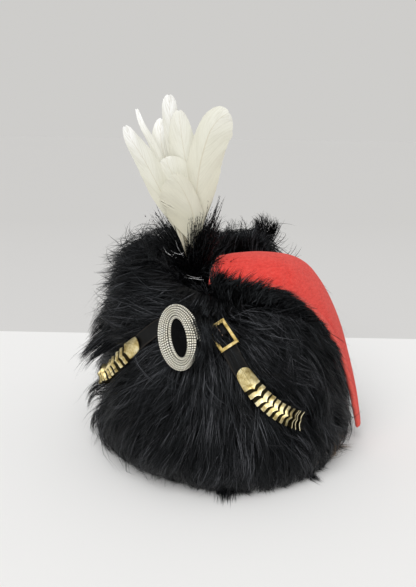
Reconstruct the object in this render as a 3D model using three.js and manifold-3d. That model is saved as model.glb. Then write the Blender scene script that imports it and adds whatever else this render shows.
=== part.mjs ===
// A hussar's busby: a hollow fur cap with a red bag, a feather plume, a corded boss and a scaled chin strap.
// Millimetres, +Z up. The cap's front faces -Y and the bag hangs on its +X side.
import * as THREE from "three";
import { mergeVertices } from "three/addons/utils/BufferGeometryUtils.js";
import Module from "manifold-3d";

const wasm = await Module();
wasm.setup();

const gap = 0.4; // clearance between pieces that touch
const furSegments = 64; // facets round the cap

const strapWidth = 14;
const strapThickness = 1.8;
const strapSteps = 26;
const strapDent = 11; // how far the strap presses into the fur
const strapDentReach = 22;
const channelWidth = 19; // clear strip in the fur for the strap and its scales
const channelHeight = 26;

const bossHeight = 58;
const bossWidth = 38;
const bossBand = 11; // width of the wound cord band
const bossThickness = 4.2;
const bossTilt = 18; // degrees, top towards the cap's right ear
const bossDent = 8;
const bossDentReach = 30;
const bossLift = 5.5;

const scaleWidth = 16.5;
const scaleLength = 13;
const scaleThickness = 0.8;
const scaleArch = 2.6; // rise of a scale's middle over its two edges
const scaleScallop = 2.2; // depth of the two hollows in a scale's free edge
const scaleCount = 11; // on each half of the strap

const buckleLength = 24;
const buckleWidth = 17.5;
const buckleBar = 2.6;
const buckleThickness = 2;

const bagColumns = 8;
const bagSteps = 24;
const bagThickness = 4.6; // two layers of felt and their turned edge
const crownLevel = 158; // underside of the crown disc's edge
const crownThickness = 2.5;
const crownRise = 4;

const plumeRoot = new THREE.Vector3(-13, -56, 178);
const plumeFacing = 20; // degrees from the front that the fan of feathers faces
const stemRadius = 3.2;
const stemHead = 7.5;
const featherThickness = 1.6;

// Outer form of the fur from the hem to the crest: reach from the axis to each side at a height.
// sag is the share of the crest's local drop that the row takes.
const furOuter = [
  { height: 0, left: 106, right: 116, front: 121, back: 124, sag: 0 },
  { height: 10, left: 114, right: 122, front: 129, back: 132, sag: 0 },
  { height: 35, left: 129, right: 127, front: 136, back: 138, sag: 0 },
  { height: 70, left: 126, right: 121, front: 133, back: 136, sag: 0 },
  { height: 105, left: 122, right: 112, front: 124, back: 131, sag: 0 },
  { height: 140, left: 122, right: 102, front: 116, back: 124, sag: 0.15 },
  { height: 165, left: 121, right: 92, front: 109, back: 118, sag: 0.45 },
  { height: 182, left: 114, right: 83, front: 102, back: 110, sag: 0.75 },
  { height: 195, left: 103, right: 74, front: 92, back: 99, sag: 0.95 },
  { height: 202, left: 88, right: 66, front: 80, back: 86, sag: 1 },
];

// Inner wall, from the crest's inner lip down past the crown disc to the head opening.
const furInner = [
  { height: 196, left: 76, right: 60, front: 72, back: 76, sag: 1 },
  { height: 174, left: 71, right: 58, front: 70, back: 72, sag: 0.1 },
  { height: 160, left: 71, right: 60, front: 71, back: 75, sag: 0 },
  { height: 110, left: 78, right: 74, front: 88, back: 92, sag: 0 },
  { height: 40, left: 82, right: 82, front: 100, back: 104, sag: 0 },
  { height: 0, left: 84, right: 84, front: 102, back: 106, sag: 0 },
];

// Drop of the crest at an angle from the front, positive towards the bag.
const crestDrops = [
  { angle: -180, drop: 0 },
  { angle: -90, drop: 0 },
  { angle: -60, drop: 2 },
  { angle: -32, drop: 7 },
  { angle: -12, drop: 17 },
  { angle: 8, drop: 26 },
  { angle: 30, drop: 27 },
  { angle: 60, drop: 26 },
  { angle: 90, drop: 24 },
  { angle: 120, drop: 24 },
  { angle: 140, drop: 24 },
  { angle: 155, drop: 15 },
  { angle: 168, drop: 2 },
  { angle: 180, drop: 0 },
];

// Centre line of the strap on the fur, each half from the buckle to its anchorage.
const tongueRoute = [
  { angle: 19.6, height: 154.5 },
  { angle: 17, height: 165.5 },
  { angle: 9, height: 172.5 },
  { angle: -1, height: 170 },
  { angle: -8, height: 162 },
  { angle: -14, height: 153 },
  { angle: -21, height: 139.5 },
  { angle: -31, height: 121 },
  { angle: -40, height: 104.5 },
  { angle: -49, height: 89 },
  { angle: -60, height: 73 },
  { angle: -74, height: 57 },
  { angle: -88, height: 40 },
  { angle: -99, height: 22 },
  { angle: -106, height: 7 },
];
const buckleRoute = [
  { angle: 19.6, height: 154.5 },
  { angle: 22.6, height: 141.5 },
  { angle: 26, height: 125 },
  { angle: 30, height: 111 },
  { angle: 36.5, height: 93 },
  { angle: 42.5, height: 81 },
  { angle: 50, height: 69 },
  { angle: 59, height: 59.5 },
  { angle: 72, height: 50 },
  { angle: 86, height: 36 },
  { angle: 97, height: 21 },
  { angle: 104, height: 7 },
];
const bossPlace = { angle: -2, height: 146.5 };

// Scales along a half of the strap: distance of the first from the buckle, the distance between
// scales there and at the end, and how far a scale tips up from the strap, in degrees.
const tongueScales = { start: 96.5, firstPitch: 7.8, lastPitch: 7, firstTip: 9, lastTip: 24 };
const buckleScales = { start: 39.5, firstPitch: 7.8, lastPitch: 5.5, firstTip: 9, lastTip: 62 };

// The bag's middle line from the crown, over the rim and down the side, seen from the front (x, z),
// with its reach to the front and to the back, and how far those two edges drop below the middle.
const bagRows = [
  { x: 4, z: 195, front: -74, back: -6, frontDrop: 16, backDrop: 27 },
  { x: 16, z: 198, front: -75, back: 14, frontDrop: 16, backDrop: 30 },
  { x: 34, z: 198, front: -77, back: 34, frontDrop: 16, backDrop: 30 },
  { x: 57, z: 196, front: -77, back: 42, frontDrop: 15, backDrop: 18 },
  { x: 76.5, z: 187, front: -70, back: 44, frontDrop: 13, backDrop: 16 },
  { x: 91, z: 169.5, front: -51, back: 44, frontDrop: 9, backDrop: 14 },
  { x: 102.3, z: 147.5, front: -30, back: 43, frontDrop: 6, backDrop: 12 },
  { x: 111.8, z: 121, front: -10, back: 42, frontDrop: 4, backDrop: 10 },
  { x: 119.2, z: 91, front: 6, back: 42, frontDrop: 2, backDrop: 8 },
  { x: 126, z: 60.4, front: 16, back: 43, frontDrop: 1.5, backDrop: 6 },
  { x: 131, z: 34, front: 21, back: 43, frontDrop: 1, backDrop: 4 },
  { x: 134, z: 14.5, front: 26, back: 38, frontDrop: 0.5, backDrop: 1 },
];

// Feathers of the plume. right and away are where the tip stands from the root, seen by the viewer
// whom the fan faces; up is its height. shoulder is the share of the length at which the blade
// starts to narrow, and seat places the foot on the stem's head, layer by layer.
const feathers = [
  { right: -17, away: 3, up: 164, width: 22, shoulder: 0.5, bow: -8, seat: [0, 1], turn: 4 },
  { right: -9, away: 13, up: 150, width: 25, shoulder: 0.66, bow: -5, seat: [1, 4.5], turn: -4 },
  { right: -29, away: 19, up: 141, width: 18, shoulder: 0.72, bow: 0, seat: [-1.5, 7], turn: 6 },
  { right: -47, away: 4, up: 149, width: 12, shoulder: 0.5, bow: 5, seat: [-4, 1.5], turn: 12 },
  { right: -55, away: -3, up: 138, width: 20, shoulder: 0.74, bow: 2, seat: [-5, -2], turn: 10 },
  { right: 29, away: -1, up: 152, width: 30, shoulder: 0.84, bow: -20, seat: [3.5, -1.5], turn: -8 },
  { right: 25, away: 6, up: 118, width: 17, shoulder: 0.8, bow: -11, seat: [5, 1.2], turn: -10 },
  { right: -20, away: -9, up: 113, width: 34, shoulder: 0.84, bow: 6, seat: [-1, -4], turn: 0 },
  { right: -13, away: -16, up: 92, width: 33, shoulder: 0.82, bow: 2, seat: [1, -6], turn: 4 },
  { right: -44, away: 7, up: 89, width: 14, shoulder: 0.7, bow: 8, seat: [-5.5, 4.2], turn: 16 },
];

// The black tuft opens upwards round the feathers' feet: its rise and its spread at an angle from
// the side that the fan faces.
const tuftRows = [
  { angle: -180, rise: 36, spread: 26 },
  { angle: -120, rise: 42, spread: 34 },
  { angle: -75, rise: 40, spread: 36 },
  { angle: -30, rise: 28, spread: 26 },
  { angle: 0, rise: 24, spread: 20 },
  { angle: 40, rise: 30, spread: 20 },
  { angle: 90, rise: 36, spread: 19 },
  { angle: 140, rise: 38, spread: 22 },
  { angle: 180, rise: 36, spread: 26 },
];
const tuftFoot = 8.5; // inner radius at its foot
const tuftThickness = 5;

const radians = THREE.MathUtils.degToRad;

// Catmull-Rom value of one column of a table at a place along its key column.
function tableValue(rows, key, column, at) {
  const last = rows.length - 1;
  const rising = rows[last][key] > rows[0][key] ? 1 : -1;
  let index = 0;
  while (index < last - 1 && rising * rows[index + 1][key] <= rising * at) index += 1;
  const from = rows[index];
  const to = rows[index + 1];
  const span = to[key] - from[key];
  const slope = (before, after) =>
    ((after[column] - before[column]) / (after[key] - before[key])) * span;
  const leave = slope(rows[Math.max(index - 1, 0)], to);
  const arrive = slope(from, rows[Math.min(index + 2, last)]);
  const t = THREE.MathUtils.clamp((at - from[key]) / span, 0, 1);
  const cubic = 2 * t ** 3 - 3 * t ** 2;
  return (
    (cubic + 1) * from[column] +
    (t ** 3 - 2 * t ** 2 + t) * leave -
    cubic * to[column] +
    (t ** 3 - t ** 2) * arrive
  );
}

// A point of the fur's form, outer or inner, before the strap and the boss press it.
function furForm(rows, angle, height) {
  const reach = (column) => tableValue(rows, "height", column, height);
  const sine = Math.sin(radians(angle));
  const cosine = Math.cos(radians(angle));
  const turn = ((((angle + 180) % 360) + 360) % 360) - 180;
  const drop = tableValue(crestDrops, "angle", "drop", turn);
  return new THREE.Vector3(
    sine * reach(sine < 0 ? "left" : "right"),
    -cosine * reach(cosine > 0 ? "front" : "back"),
    height - drop * reach("sag"),
  );
}

// Outward normal of a surface given by angle and height.
function normalOf(surface, angle, height) {
  const step = 0.5;
  const round = surface(angle + step, height).sub(surface(angle - step, height));
  const up = surface(angle, height + step).sub(surface(angle, height - step));
  return round.cross(up).normalize();
}

// Places where the long fur lies further in or out than the regular plan (mm).
const swells = [
  { angle: -8, wide: 30, height: 0, high: 18, out: -12 },
  { angle: -62, wide: 17, height: 6, high: 20, out: 8 },
  { angle: 95, wide: 25, height: 0, high: 20, out: -4 },
  { angle: -75, wide: 30, height: 168, high: 22, out: -10 },
];

function openForm(angle, height) {
  const swell = swells.reduce((sum, row) => {
    const turn = ((((angle - row.angle + 180) % 360) + 360) % 360) - 180;
    return sum + row.out * Math.exp(-((turn / row.wide) ** 2) - ((height - row.height) / row.high) ** 2);
  }, 0);
  const outward = new THREE.Vector3(Math.sin(radians(angle)), -Math.cos(radians(angle)), 0);
  return furForm(furOuter, angle, height).addScaledVector(outward, swell);
}

// Points of the open form under the strap's route, close enough together to measure distances to.
function routeOnForm(route) {
  const curve = new THREE.SplineCurve(route.map((row) => new THREE.Vector2(row.angle, row.height)));
  return curve.getPoints(40).map((place) => openForm(place.x, place.y));
}
const pressedBy = [
  { points: routeOnForm(tongueRoute), depth: strapDent, reach: strapDentReach },
  { points: routeOnForm(buckleRoute), depth: strapDent, reach: strapDentReach },
  { points: [openForm(bossPlace.angle, bossPlace.height)], depth: bossDent, reach: bossDentReach },
];

// Depth to which strap and boss press the fur at a point of the open form.
function pressDepth(point) {
  const depths = pressedBy.map(({ points, depth, reach }) => {
    const distance = Math.min(...points.map((other) => other.distanceTo(point)));
    return depth * Math.exp(-((distance / reach) ** 2));
  });
  return Math.max(...depths);
}

// A point of the pressed fur, with an optional lift off it.
function furPoint(angle, height, lift = 0) {
  const point = openForm(angle, height);
  const normal = normalOf(openForm, angle, height);
  return point.addScaledVector(normal, lift - pressDepth(point));
}

function toSolid(geometry) {
  const bare = new THREE.BufferGeometry();
  bare.setAttribute("position", geometry.getAttribute("position"));
  bare.setIndex(geometry.getIndex());
  const merged = mergeVertices(bare, 1e-3);
  return new wasm.Manifold(
    new wasm.Mesh({
      numProp: 3,
      vertProperties: merged.getAttribute("position").array,
      triVerts: new Uint32Array(merged.getIndex().array),
    }),
  );
}

// The first geometry with the others cut away.
function cutAway(geometry, cutters) {
  const left = cutters.reduce((body, cutter) => body.subtract(toSolid(cutter)), toSolid(geometry));
  const mesh = left.getMesh();
  const result = new THREE.BufferGeometry();
  result.setAttribute("position", new THREE.BufferAttribute(mesh.vertProperties, 3));
  result.setIndex(new THREE.BufferAttribute(mesh.triVerts, 1));
  result.computeVertexNormals();
  return result;
}

// A closed body through rings of points. wrap joins the last ring to the first; otherwise both ends
// are capped round their middles.
function loftBody(rings, wrap) {
  const count = rings[0].length;
  const points = rings.flat();
  const faces = [];
  const bands = wrap ? rings.length : rings.length - 1;
  for (let ring = 0; ring < bands; ring += 1) {
    const next = (ring + 1) % rings.length;
    for (let side = 0; side < count; side += 1) {
      const a = ring * count + side;
      const b = ring * count + ((side + 1) % count);
      const c = next * count + ((side + 1) % count);
      const d = next * count + side;
      faces.push(a, b, c, a, c, d);
    }
  }
  if (!wrap) {
    for (const [ring, turned] of [[0, true], [rings.length - 1, false]]) {
      const middle = new THREE.Vector3();
      rings[ring].forEach((point) => middle.addScaledVector(point, 1 / count));
      points.push(middle);
      for (let side = 0; side < count; side += 1) {
        const a = ring * count + side;
        const b = ring * count + ((side + 1) % count);
        faces.push(...(turned ? [b, a] : [a, b]), points.length - 1);
      }
    }
  }
  return facingOut(points, faces);
}

// A geometry of these triangles, turned round if they enclose a negative volume.
function facingOut(points, faces) {
  let volume = 0;
  for (let i = 0; i < faces.length; i += 3) {
    const [a, b, c] = faces.slice(i, i + 3).map((index) => points[index]);
    volume += a.dot(b.clone().cross(c));
  }
  if (volume < 0) faces.reverse();
  const geometry = new THREE.BufferGeometry().setFromPoints(points);
  geometry.setIndex(faces);
  geometry.computeVertexNormals();
  return geometry;
}

// Rings of a section carried along frames. section gives points as [across, outward].
function sweepRings(frames, section) {
  return frames.map((frame, index) =>
    section(index / (frames.length - 1)).map(([across, outward]) =>
      frame.origin
        .clone()
        .addScaledVector(frame.across, across)
        .addScaledVector(frame.normal, outward),
    ),
  );
}

// A thin plate from a grid of top points and the directions in which it has its thickness.
function plateBody(columns, rows, topAt, downAt) {
  const grid = [];
  for (const under of [false, true]) {
    for (let row = 0; row <= rows; row += 1) {
      for (let column = 0; column <= columns; column += 1) {
        const place = [column / columns, row / rows];
        const point = topAt(...place);
        if (under) point.add(downAt(...place));
        grid.push(point);
      }
    }
  }
  const wide = columns + 1;
  const layer = wide * (rows + 1);
  const faces = [];
  for (let row = 0; row < rows; row += 1) {
    for (let column = 0; column < columns; column += 1) {
      const a = row * wide + column;
      const [b, c, d] = [a + 1, a + wide + 1, a + wide];
      faces.push(a, b, c, a, c, d);
      faces.push(a + layer, c + layer, b + layer, a + layer, d + layer, c + layer);
    }
  }
  const rim = [];
  for (let column = 0; column < columns; column += 1) rim.push(column);
  for (let row = 0; row < rows; row += 1) rim.push(row * wide + columns);
  for (let column = columns; column > 0; column -= 1) rim.push(rows * wide + column);
  for (let row = rows; row > 0; row -= 1) rim.push(row * wide);
  rim.forEach((a, index) => {
    const b = rim[(index + 1) % rim.length];
    faces.push(b, a, a + layer, b, a + layer, b + layer);
  });
  return facingOut(grid, faces);
}

// Frame on the pressed fur with axes across the strap, along it and outward.
function frameOnFur(angle, height, lift, along) {
  const normal = normalOf(openForm, angle, height);
  const flow = along.clone().addScaledVector(normal, -along.dot(normal)).normalize();
  return {
    origin: furPoint(angle, height, lift),
    normal,
    along: flow,
    across: flow.clone().cross(normal),
  };
}

// A half of the strap as frames at even distances along its route.
function strapFrames(route) {
  const flat = new THREE.SplineCurve(route.map((row) => new THREE.Vector2(row.angle, row.height)));
  const places = flat.getPoints(route.length * 12);
  const curve = new THREE.CatmullRomCurve3(
    places.map((place) => furPoint(place.x, place.y)),
  );
  const length = curve.getLength();
  const frameAt = (distance) => {
    const share = THREE.MathUtils.clamp(distance / length, 0, 1);
    const beyond = distance - share * length;
    const origin = curve.getPointAt(share).addScaledVector(curve.getTangentAt(share), beyond);
    const t = curve.getUtoTmapping(share) * (places.length - 1);
    const index = Math.min(Math.floor(t), places.length - 2);
    const place = places[index].clone().lerp(places[index + 1], t - index);
    const frame = frameOnFur(place.x, place.y, 0, curve.getTangentAt(share));
    return { ...frame, origin };
  };
  return { length, frameAt };
}

// A band of one section along a half of the strap, between two distances.
function bandGeometry(half, from, to, width, under, over) {
  const frames = [];
  for (let step = 0; step <= strapSteps; step += 1) {
    frames.push(half.frameAt(from + ((to - from) * step) / strapSteps));
  }
  const side = width / 2;
  return loftBody(sweepRings(frames, () => [[-side, under], [side, under], [side, over], [-side, over]]), false);
}

// One brass scale on a strap frame: arched across, tipped up towards its free end.
function scaleGeometry(frame, tip, rounded) {
  const foot = frame.origin.clone().addScaledVector(frame.normal, strapThickness + gap);
  const along = frame.along.clone().applyAxisAngle(frame.across, radians(tip));
  const outward = frame.normal.clone().applyAxisAngle(frame.across, radians(tip));
  const topAt = (side, run) => {
    const across = 2 * side - 1;
    const start = rounded ? -scaleWidth * 0.42 * Math.sqrt(Math.max(0, 1 - across ** 2)) : 0;
    const corner = 2.5 * Math.abs(across) ** 6;
    const end = scaleLength - corner - scaleScallop * Math.abs(Math.sin(Math.PI * across)) ** 0.8;
    return foot
      .clone()
      .addScaledVector(frame.across, (across * scaleWidth) / 2)
      .addScaledVector(along, THREE.MathUtils.lerp(start, end, run))
      .addScaledVector(outward, scaleThickness + scaleArch * (1 - across ** 2));
  };
  return plateBody(6, 2, topAt, () => outward.clone().multiplyScalar(-scaleThickness));
}

function addScales(group, half, plan, name, metal) {
  let distance = plan.start;
  for (let index = 0; index < scaleCount; index += 1) {
    const share = index / (scaleCount - 1);
    const tip = THREE.MathUtils.lerp(plan.firstTip, plan.lastTip, share ** 2.2);
    const geometry = scaleGeometry(half.frameAt(distance), tip, index === 0);
    addPiece(group, `${name}_${index + 1}`, geometry, metal);
    distance += THREE.MathUtils.lerp(plan.firstPitch, plan.lastPitch, share);
  }
}

function addPiece(group, name, geometry, material) {
  const mesh = new THREE.Mesh(geometry, material);
  mesh.name = name;
  group.add(mesh);
  return mesh;
}

// The fur: outer form up to the crest, then the inner wall down to the flat hem.
function furGeometry() {
  const outerHeights = [0, 12, 30, 48, 64, 80, 95, 110, 124, 138, 152, 166, 178, 188, 196, 202];
  const innerHeights = [196, 174, 160, 110, 40, 0];
  const ring = (pointAt) =>
    Array.from({ length: furSegments }, (_, index) => pointAt((index * 360) / furSegments - 180));
  const rings = [
    ...outerHeights.map((height) => ring((angle) => hemKept(height, furPoint(angle, height)))),
    ...innerHeights.map((height) => ring((angle) => furForm(furInner, angle, height))),
  ];
  return loftBody(rings, true);
}

// The hem's own ring stays on the ground.
function hemKept(height, point) {
  if (height === 0) point.z = 0;
  return point;
}

// The crown disc, a shallow dome inside the fur's inner wall.
function crownGeometry() {
  const shares = [0.06, 0.35, 0.65, 1];
  const ring = (share, lift) =>
    Array.from({ length: furSegments / 2 }, (_, index) => {
      const rim = furForm(furInner, (index * 720) / furSegments - 180, crownLevel + crownThickness);
      const length = Math.hypot(rim.x, rim.y);
      const inset = (length - 1.2) / length;
      return new THREE.Vector3(
        rim.x * share * inset,
        rim.y * share * inset,
        crownLevel + lift + crownRise * (1 - share ** 2),
      );
    });
  const top = shares.map((share) => ring(share, crownThickness));
  const under = shares.map((share) => ring(share, 0)).reverse();
  return loftBody([...top, ...under], false);
}

// The bag, or with another thickness the room it takes up in the fur.
function bagGeometry(thickness) {
  const spine = new THREE.CatmullRomCurve3(bagRows.map((row) => new THREE.Vector3(row.x, 0, row.z)));
  const table = bagRows.map((row, index) => ({ ...row, index }));
  const ringAt = (t) => {
    const value = (column) => tableValue(table, "index", column, t * (bagRows.length - 1));
    const middle = spine.getPoint(t);
    const tangent = spine.getTangent(t);
    const outward = new THREE.Vector3(-tangent.z, 0, tangent.x);
    const pointAt = (share, side) => {
      const across = 2 * share - 1;
      const lift = (side * thickness * (1 - 0.75 * Math.abs(across) ** 8)) / 2;
      const drop = value(across < 0 ? "frontDrop" : "backDrop") * across ** 2;
      return middle
        .clone()
        .setY(THREE.MathUtils.lerp(value("front"), value("back"), share))
        .addScaledVector(outward, lift - drop);
    };
    const shares = Array.from({ length: bagColumns + 1 }, (_, index) => index / bagColumns);
    return [
      ...shares.map((share) => pointAt(share, 1)),
      ...shares.reverse().map((share) => pointAt(share, -1)),
    ];
  };
  return loftBody(Array.from({ length: bagSteps + 1 }, (_, index) => ringAt(index / bagSteps)), false);
}

// The boss's oval at a share of its way round, inset from its outer edge.
function bossOval(share, inset) {
  const turn = 2 * Math.PI * share;
  const across = (bossWidth / 2 - inset) * Math.cos(turn);
  const up = (bossHeight / 2 - inset) * Math.sin(turn);
  return [across, up];
}

function bossFrame() {
  const frame = frameOnFur(bossPlace.angle, bossPlace.height, bossLift, new THREE.Vector3(0, 0, 1));
  frame.along.applyAxisAngle(frame.normal, radians(bossTilt));
  frame.across.applyAxisAngle(frame.normal, radians(bossTilt));
  return frame;
}

function onBoss(frame, [across, up], lift) {
  return frame.origin
    .clone()
    .addScaledVector(frame.across, across)
    .addScaledVector(frame.along, up)
    .addScaledVector(frame.normal, lift);
}

function bossCordGeometry(frame) {
  const section = [
    { inset: 0, lift: 0 },
    { inset: 0.3, lift: 2.4 },
    { inset: 0.3 * bossBand, lift: bossThickness },
    { inset: 0.7 * bossBand, lift: bossThickness },
    { inset: bossBand - 0.3, lift: 2.4 },
    { inset: bossBand, lift: 0 },
  ];
  const rings = Array.from({ length: 36 }, (_, index) =>
    section.map(({ inset, lift }) => onBoss(frame, bossOval(index / 36, inset), lift)),
  );
  return loftBody(rings, true);
}

function bossCentreGeometry(frame) {
  const rows = [
    { inset: 0, lift: 0 },
    { inset: 0.2, lift: 1.4 },
    { inset: 2.5, lift: 2.4 },
  ];
  const rings = rows.map(({ inset, lift }) =>
    Array.from({ length: 28 }, (_, index) =>
      onBoss(frame, bossOval(index / 28, bossBand + gap + inset), lift),
    ),
  );
  return loftBody(rings, false);
}

// Lays a shape drawn in X (across) and Y (along) onto a frame.
function layOn(geometry, frame, lift) {
  const place = new THREE.Matrix4().makeBasis(frame.across, frame.along, frame.normal);
  place.setPosition(frame.origin.clone().addScaledVector(frame.normal, lift));
  return geometry.applyMatrix4(place);
}

function buckleFrameGeometry(frame) {
  const box = (width, length, path) => {
    path.moveTo(-width / 2, -length / 2);
    path.lineTo(width / 2, -length / 2);
    path.lineTo(width / 2, length / 2);
    path.lineTo(-width / 2, length / 2);
    path.closePath();
    return path;
  };
  const shape = box(buckleWidth, buckleLength, new THREE.Shape());
  shape.holes.push(box(buckleWidth - 2 * buckleBar, buckleLength - 2 * buckleBar, new THREE.Path()));
  const geometry = new THREE.ExtrudeGeometry(shape, { depth: buckleThickness, bevelEnabled: false });
  return layOn(geometry, frame, strapThickness + gap);
}

function prongGeometry(frame) {
  const length = buckleLength / 2 - buckleBar;
  const geometry = new THREE.CylinderGeometry(0.5, 0.8, length, 8);
  geometry.translate(0, -(buckleLength / 2 - buckleBar) + length / 2 + gap, 0);
  return layOn(geometry, frame, strapThickness + gap + 0.9);
}

// A feather: a lens-shaped blade that widens from its foot and narrows to its tip.
function featherGeometry({ right, away, up, width, shoulder, bow, seat, turn }) {
  const facing = radians(plumeFacing);
  const rightward = new THREE.Vector3(Math.cos(facing), Math.sin(facing), 0);
  const awayward = new THREE.Vector3(-Math.sin(facing), Math.cos(facing), 0);
  const place = (x, y, z) =>
    plumeRoot.clone().addScaledVector(rightward, x).addScaledVector(awayward, y).setZ(plumeRoot.z + z);
  const shaft = new THREE.CatmullRomCurve3([
    place(seat[0], seat[1], 0),
    place(seat[0] + 0.1 * right, seat[1] + 0.15 * away, 0.25 * up),
    place(seat[0] + 0.5 * right + bow * 0.6, seat[1] + 0.5 * away, 0.62 * up),
    place(right, seat[1] + away, up),
  ]);
  const face = awayward.clone().negate().applyAxisAngle(new THREE.Vector3(0, 0, 1), radians(turn));
  const steps = 9;
  const frames = Array.from({ length: steps + 1 }, (_, index) => {
    const along = shaft.getTangent(index / steps);
    const across = along.clone().cross(face).normalize();
    return { origin: shaft.getPoint(index / steps), across, normal: across.clone().cross(along) };
  });
  const blade = (share) => {
    const opening = THREE.MathUtils.smoothstep(share, 0.04, 0.62);
    const past = THREE.MathUtils.clamp((share - shoulder) / (1.01 - shoulder), 0, 1);
    const closing = Math.sqrt(1 - past ** 2);
    return 1.6 + (width / 2 - 1.6) * opening * closing;
  };
  const thick = featherThickness / 2;
  return loftBody(
    sweepRings(frames, (share) => {
      const half = blade(share);
      return [[-half, -0.3], [0, -thick], [half, -0.3], [half, 0.3], [0, thick], [-half, 0.3]];
    }),
    false,
  );
}

// The black tuft, a collar of one loop of sections round the plume.
function tuftGeometry() {
  const count = 28;
  const rings = Array.from({ length: count }, (_, index) => {
    const angle = (index * 360) / count - 180;
    const rise = tableValue(tuftRows, "angle", "rise", angle);
    const spread = tableValue(tuftRows, "angle", "spread", angle);
    const turn = radians(angle + plumeFacing);
    const pointAt = (radius, height) =>
      plumeRoot.clone().add(new THREE.Vector3(radius * Math.sin(turn), -radius * Math.cos(turn), height));
    const middle = (tuftFoot + spread) / 2 - 2;
    return [
      pointAt(tuftFoot, 2),
      pointAt(middle, rise * 0.62),
      pointAt(spread, rise),
      pointAt(spread + 2, rise - 1),
      pointAt(middle + tuftThickness, rise * 0.5),
      pointAt(tuftFoot + 3, -1),
    ];
  });
  return loftBody(rings, true);
}

function stemGeometry() {
  const foot = crownLevel + crownThickness + crownRise + gap;
  const height = plumeRoot.z - gap - foot;
  const geometry = new THREE.CylinderGeometry(stemHead, stemRadius, height, 16);
  geometry.rotateX(Math.PI / 2);
  geometry.translate(plumeRoot.x, plumeRoot.y, foot + height / 2);
  return geometry;
}

function makeBusby() {
  const busby = new THREE.Group();
  const finish = (color, roughness, metalness = 0) =>
    new THREE.MeshStandardMaterial({ color, roughness, metalness });
  const brass = finish(0xc9ae62, 0.32, 1);
  const leather = finish(0x17161a, 0.5);
  const feather = finish(0xf1eee0, 0.8);

  addPiece(busby, "crown_top", crownGeometry(), finish(0x121215, 0.95));
  addPiece(busby, "bag", bagGeometry(bagThickness), finish(0xd8362f, 0.95));
  addPiece(busby, "plume_stem", stemGeometry(), finish(0x2a2724, 0.7));
  addPiece(busby, "plume_tuft", tuftGeometry(), finish(0x0e0e10, 0.8));
  feathers.forEach((row, index) => {
    addPiece(busby, `plume_feather_${index + 1}`, featherGeometry(row), feather);
  });

  const boss = bossFrame();
  addPiece(busby, "boss_cord", bossCordGeometry(boss), finish(0xb9b4a4, 0.4, 0.6));
  addPiece(busby, "boss_centre", bossCentreGeometry(boss), finish(0x08080a, 1));

  const tongue = strapFrames(tongueRoute);
  const buckleHalf = strapFrames(buckleRoute);
  const buckle = buckleHalf.frameAt(0);
  const band = [strapWidth, 0, strapThickness];
  const channel = [channelWidth, -2 * gap, channelHeight];
  const underBar = (buckleLength - buckleBar) / 2;
  const channels = [
    bandGeometry(tongue, -underBar, tongue.length + gap, ...channel),
    bandGeometry(buckleHalf, 0, buckleHalf.length + gap, ...channel),
    bagGeometry(bagThickness + 2 * gap),
  ];
  addPiece(busby, "fur_cap", cutAway(furGeometry(), channels), finish(0x0d0e11, 0.9));
  addPiece(busby, "strap_tongue", bandGeometry(tongue, -underBar, tongue.length - 1, ...band), leather);
  addPiece(busby, "strap_buckle_end", bandGeometry(buckleHalf, underBar + gap, buckleHalf.length - 1, ...band), leather);
  addPiece(busby, "buckle_frame", buckleFrameGeometry(buckle), brass);
  addPiece(busby, "buckle_prong", prongGeometry(buckle), brass);
  addScales(busby, tongue, tongueScales, "scale_left", brass);
  addScales(busby, buckleHalf, buckleScales, "scale_right", brass);

  const box = new THREE.Box3().setFromObject(busby);
  const middle = box.getCenter(new THREE.Vector3());
  busby.position.set(-middle.x, -middle.y, -box.min.z);
  return busby;
}

export default makeBusby();
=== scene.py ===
import math

import bpy
import numpy as np
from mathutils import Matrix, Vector
from mathutils.bvhtree import BVHTree
from mathutils.kdtree import KDTree


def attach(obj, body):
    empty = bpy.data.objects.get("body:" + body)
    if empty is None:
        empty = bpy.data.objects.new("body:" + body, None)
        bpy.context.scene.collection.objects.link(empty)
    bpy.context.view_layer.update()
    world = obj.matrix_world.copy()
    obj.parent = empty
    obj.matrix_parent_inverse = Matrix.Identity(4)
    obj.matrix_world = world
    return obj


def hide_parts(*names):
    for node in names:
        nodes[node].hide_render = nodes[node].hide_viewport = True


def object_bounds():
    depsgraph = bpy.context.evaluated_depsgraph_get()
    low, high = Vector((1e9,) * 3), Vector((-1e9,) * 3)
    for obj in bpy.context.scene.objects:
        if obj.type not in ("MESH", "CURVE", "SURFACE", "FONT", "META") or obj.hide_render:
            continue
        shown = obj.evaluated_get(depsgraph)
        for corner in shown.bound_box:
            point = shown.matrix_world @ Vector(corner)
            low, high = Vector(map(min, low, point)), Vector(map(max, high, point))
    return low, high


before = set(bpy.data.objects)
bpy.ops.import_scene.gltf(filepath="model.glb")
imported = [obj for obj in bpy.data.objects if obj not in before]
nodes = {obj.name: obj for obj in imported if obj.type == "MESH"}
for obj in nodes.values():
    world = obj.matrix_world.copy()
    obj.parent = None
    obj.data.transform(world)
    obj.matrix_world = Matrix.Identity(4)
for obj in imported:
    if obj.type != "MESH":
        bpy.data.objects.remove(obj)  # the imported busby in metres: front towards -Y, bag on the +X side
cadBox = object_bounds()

scene = bpy.context.scene
axisPlace = np.array([-0.0058112, -0.0010520, 0.0])  # the upright axis that the cap's forms are measured from
millimetre = 0.001


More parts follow.
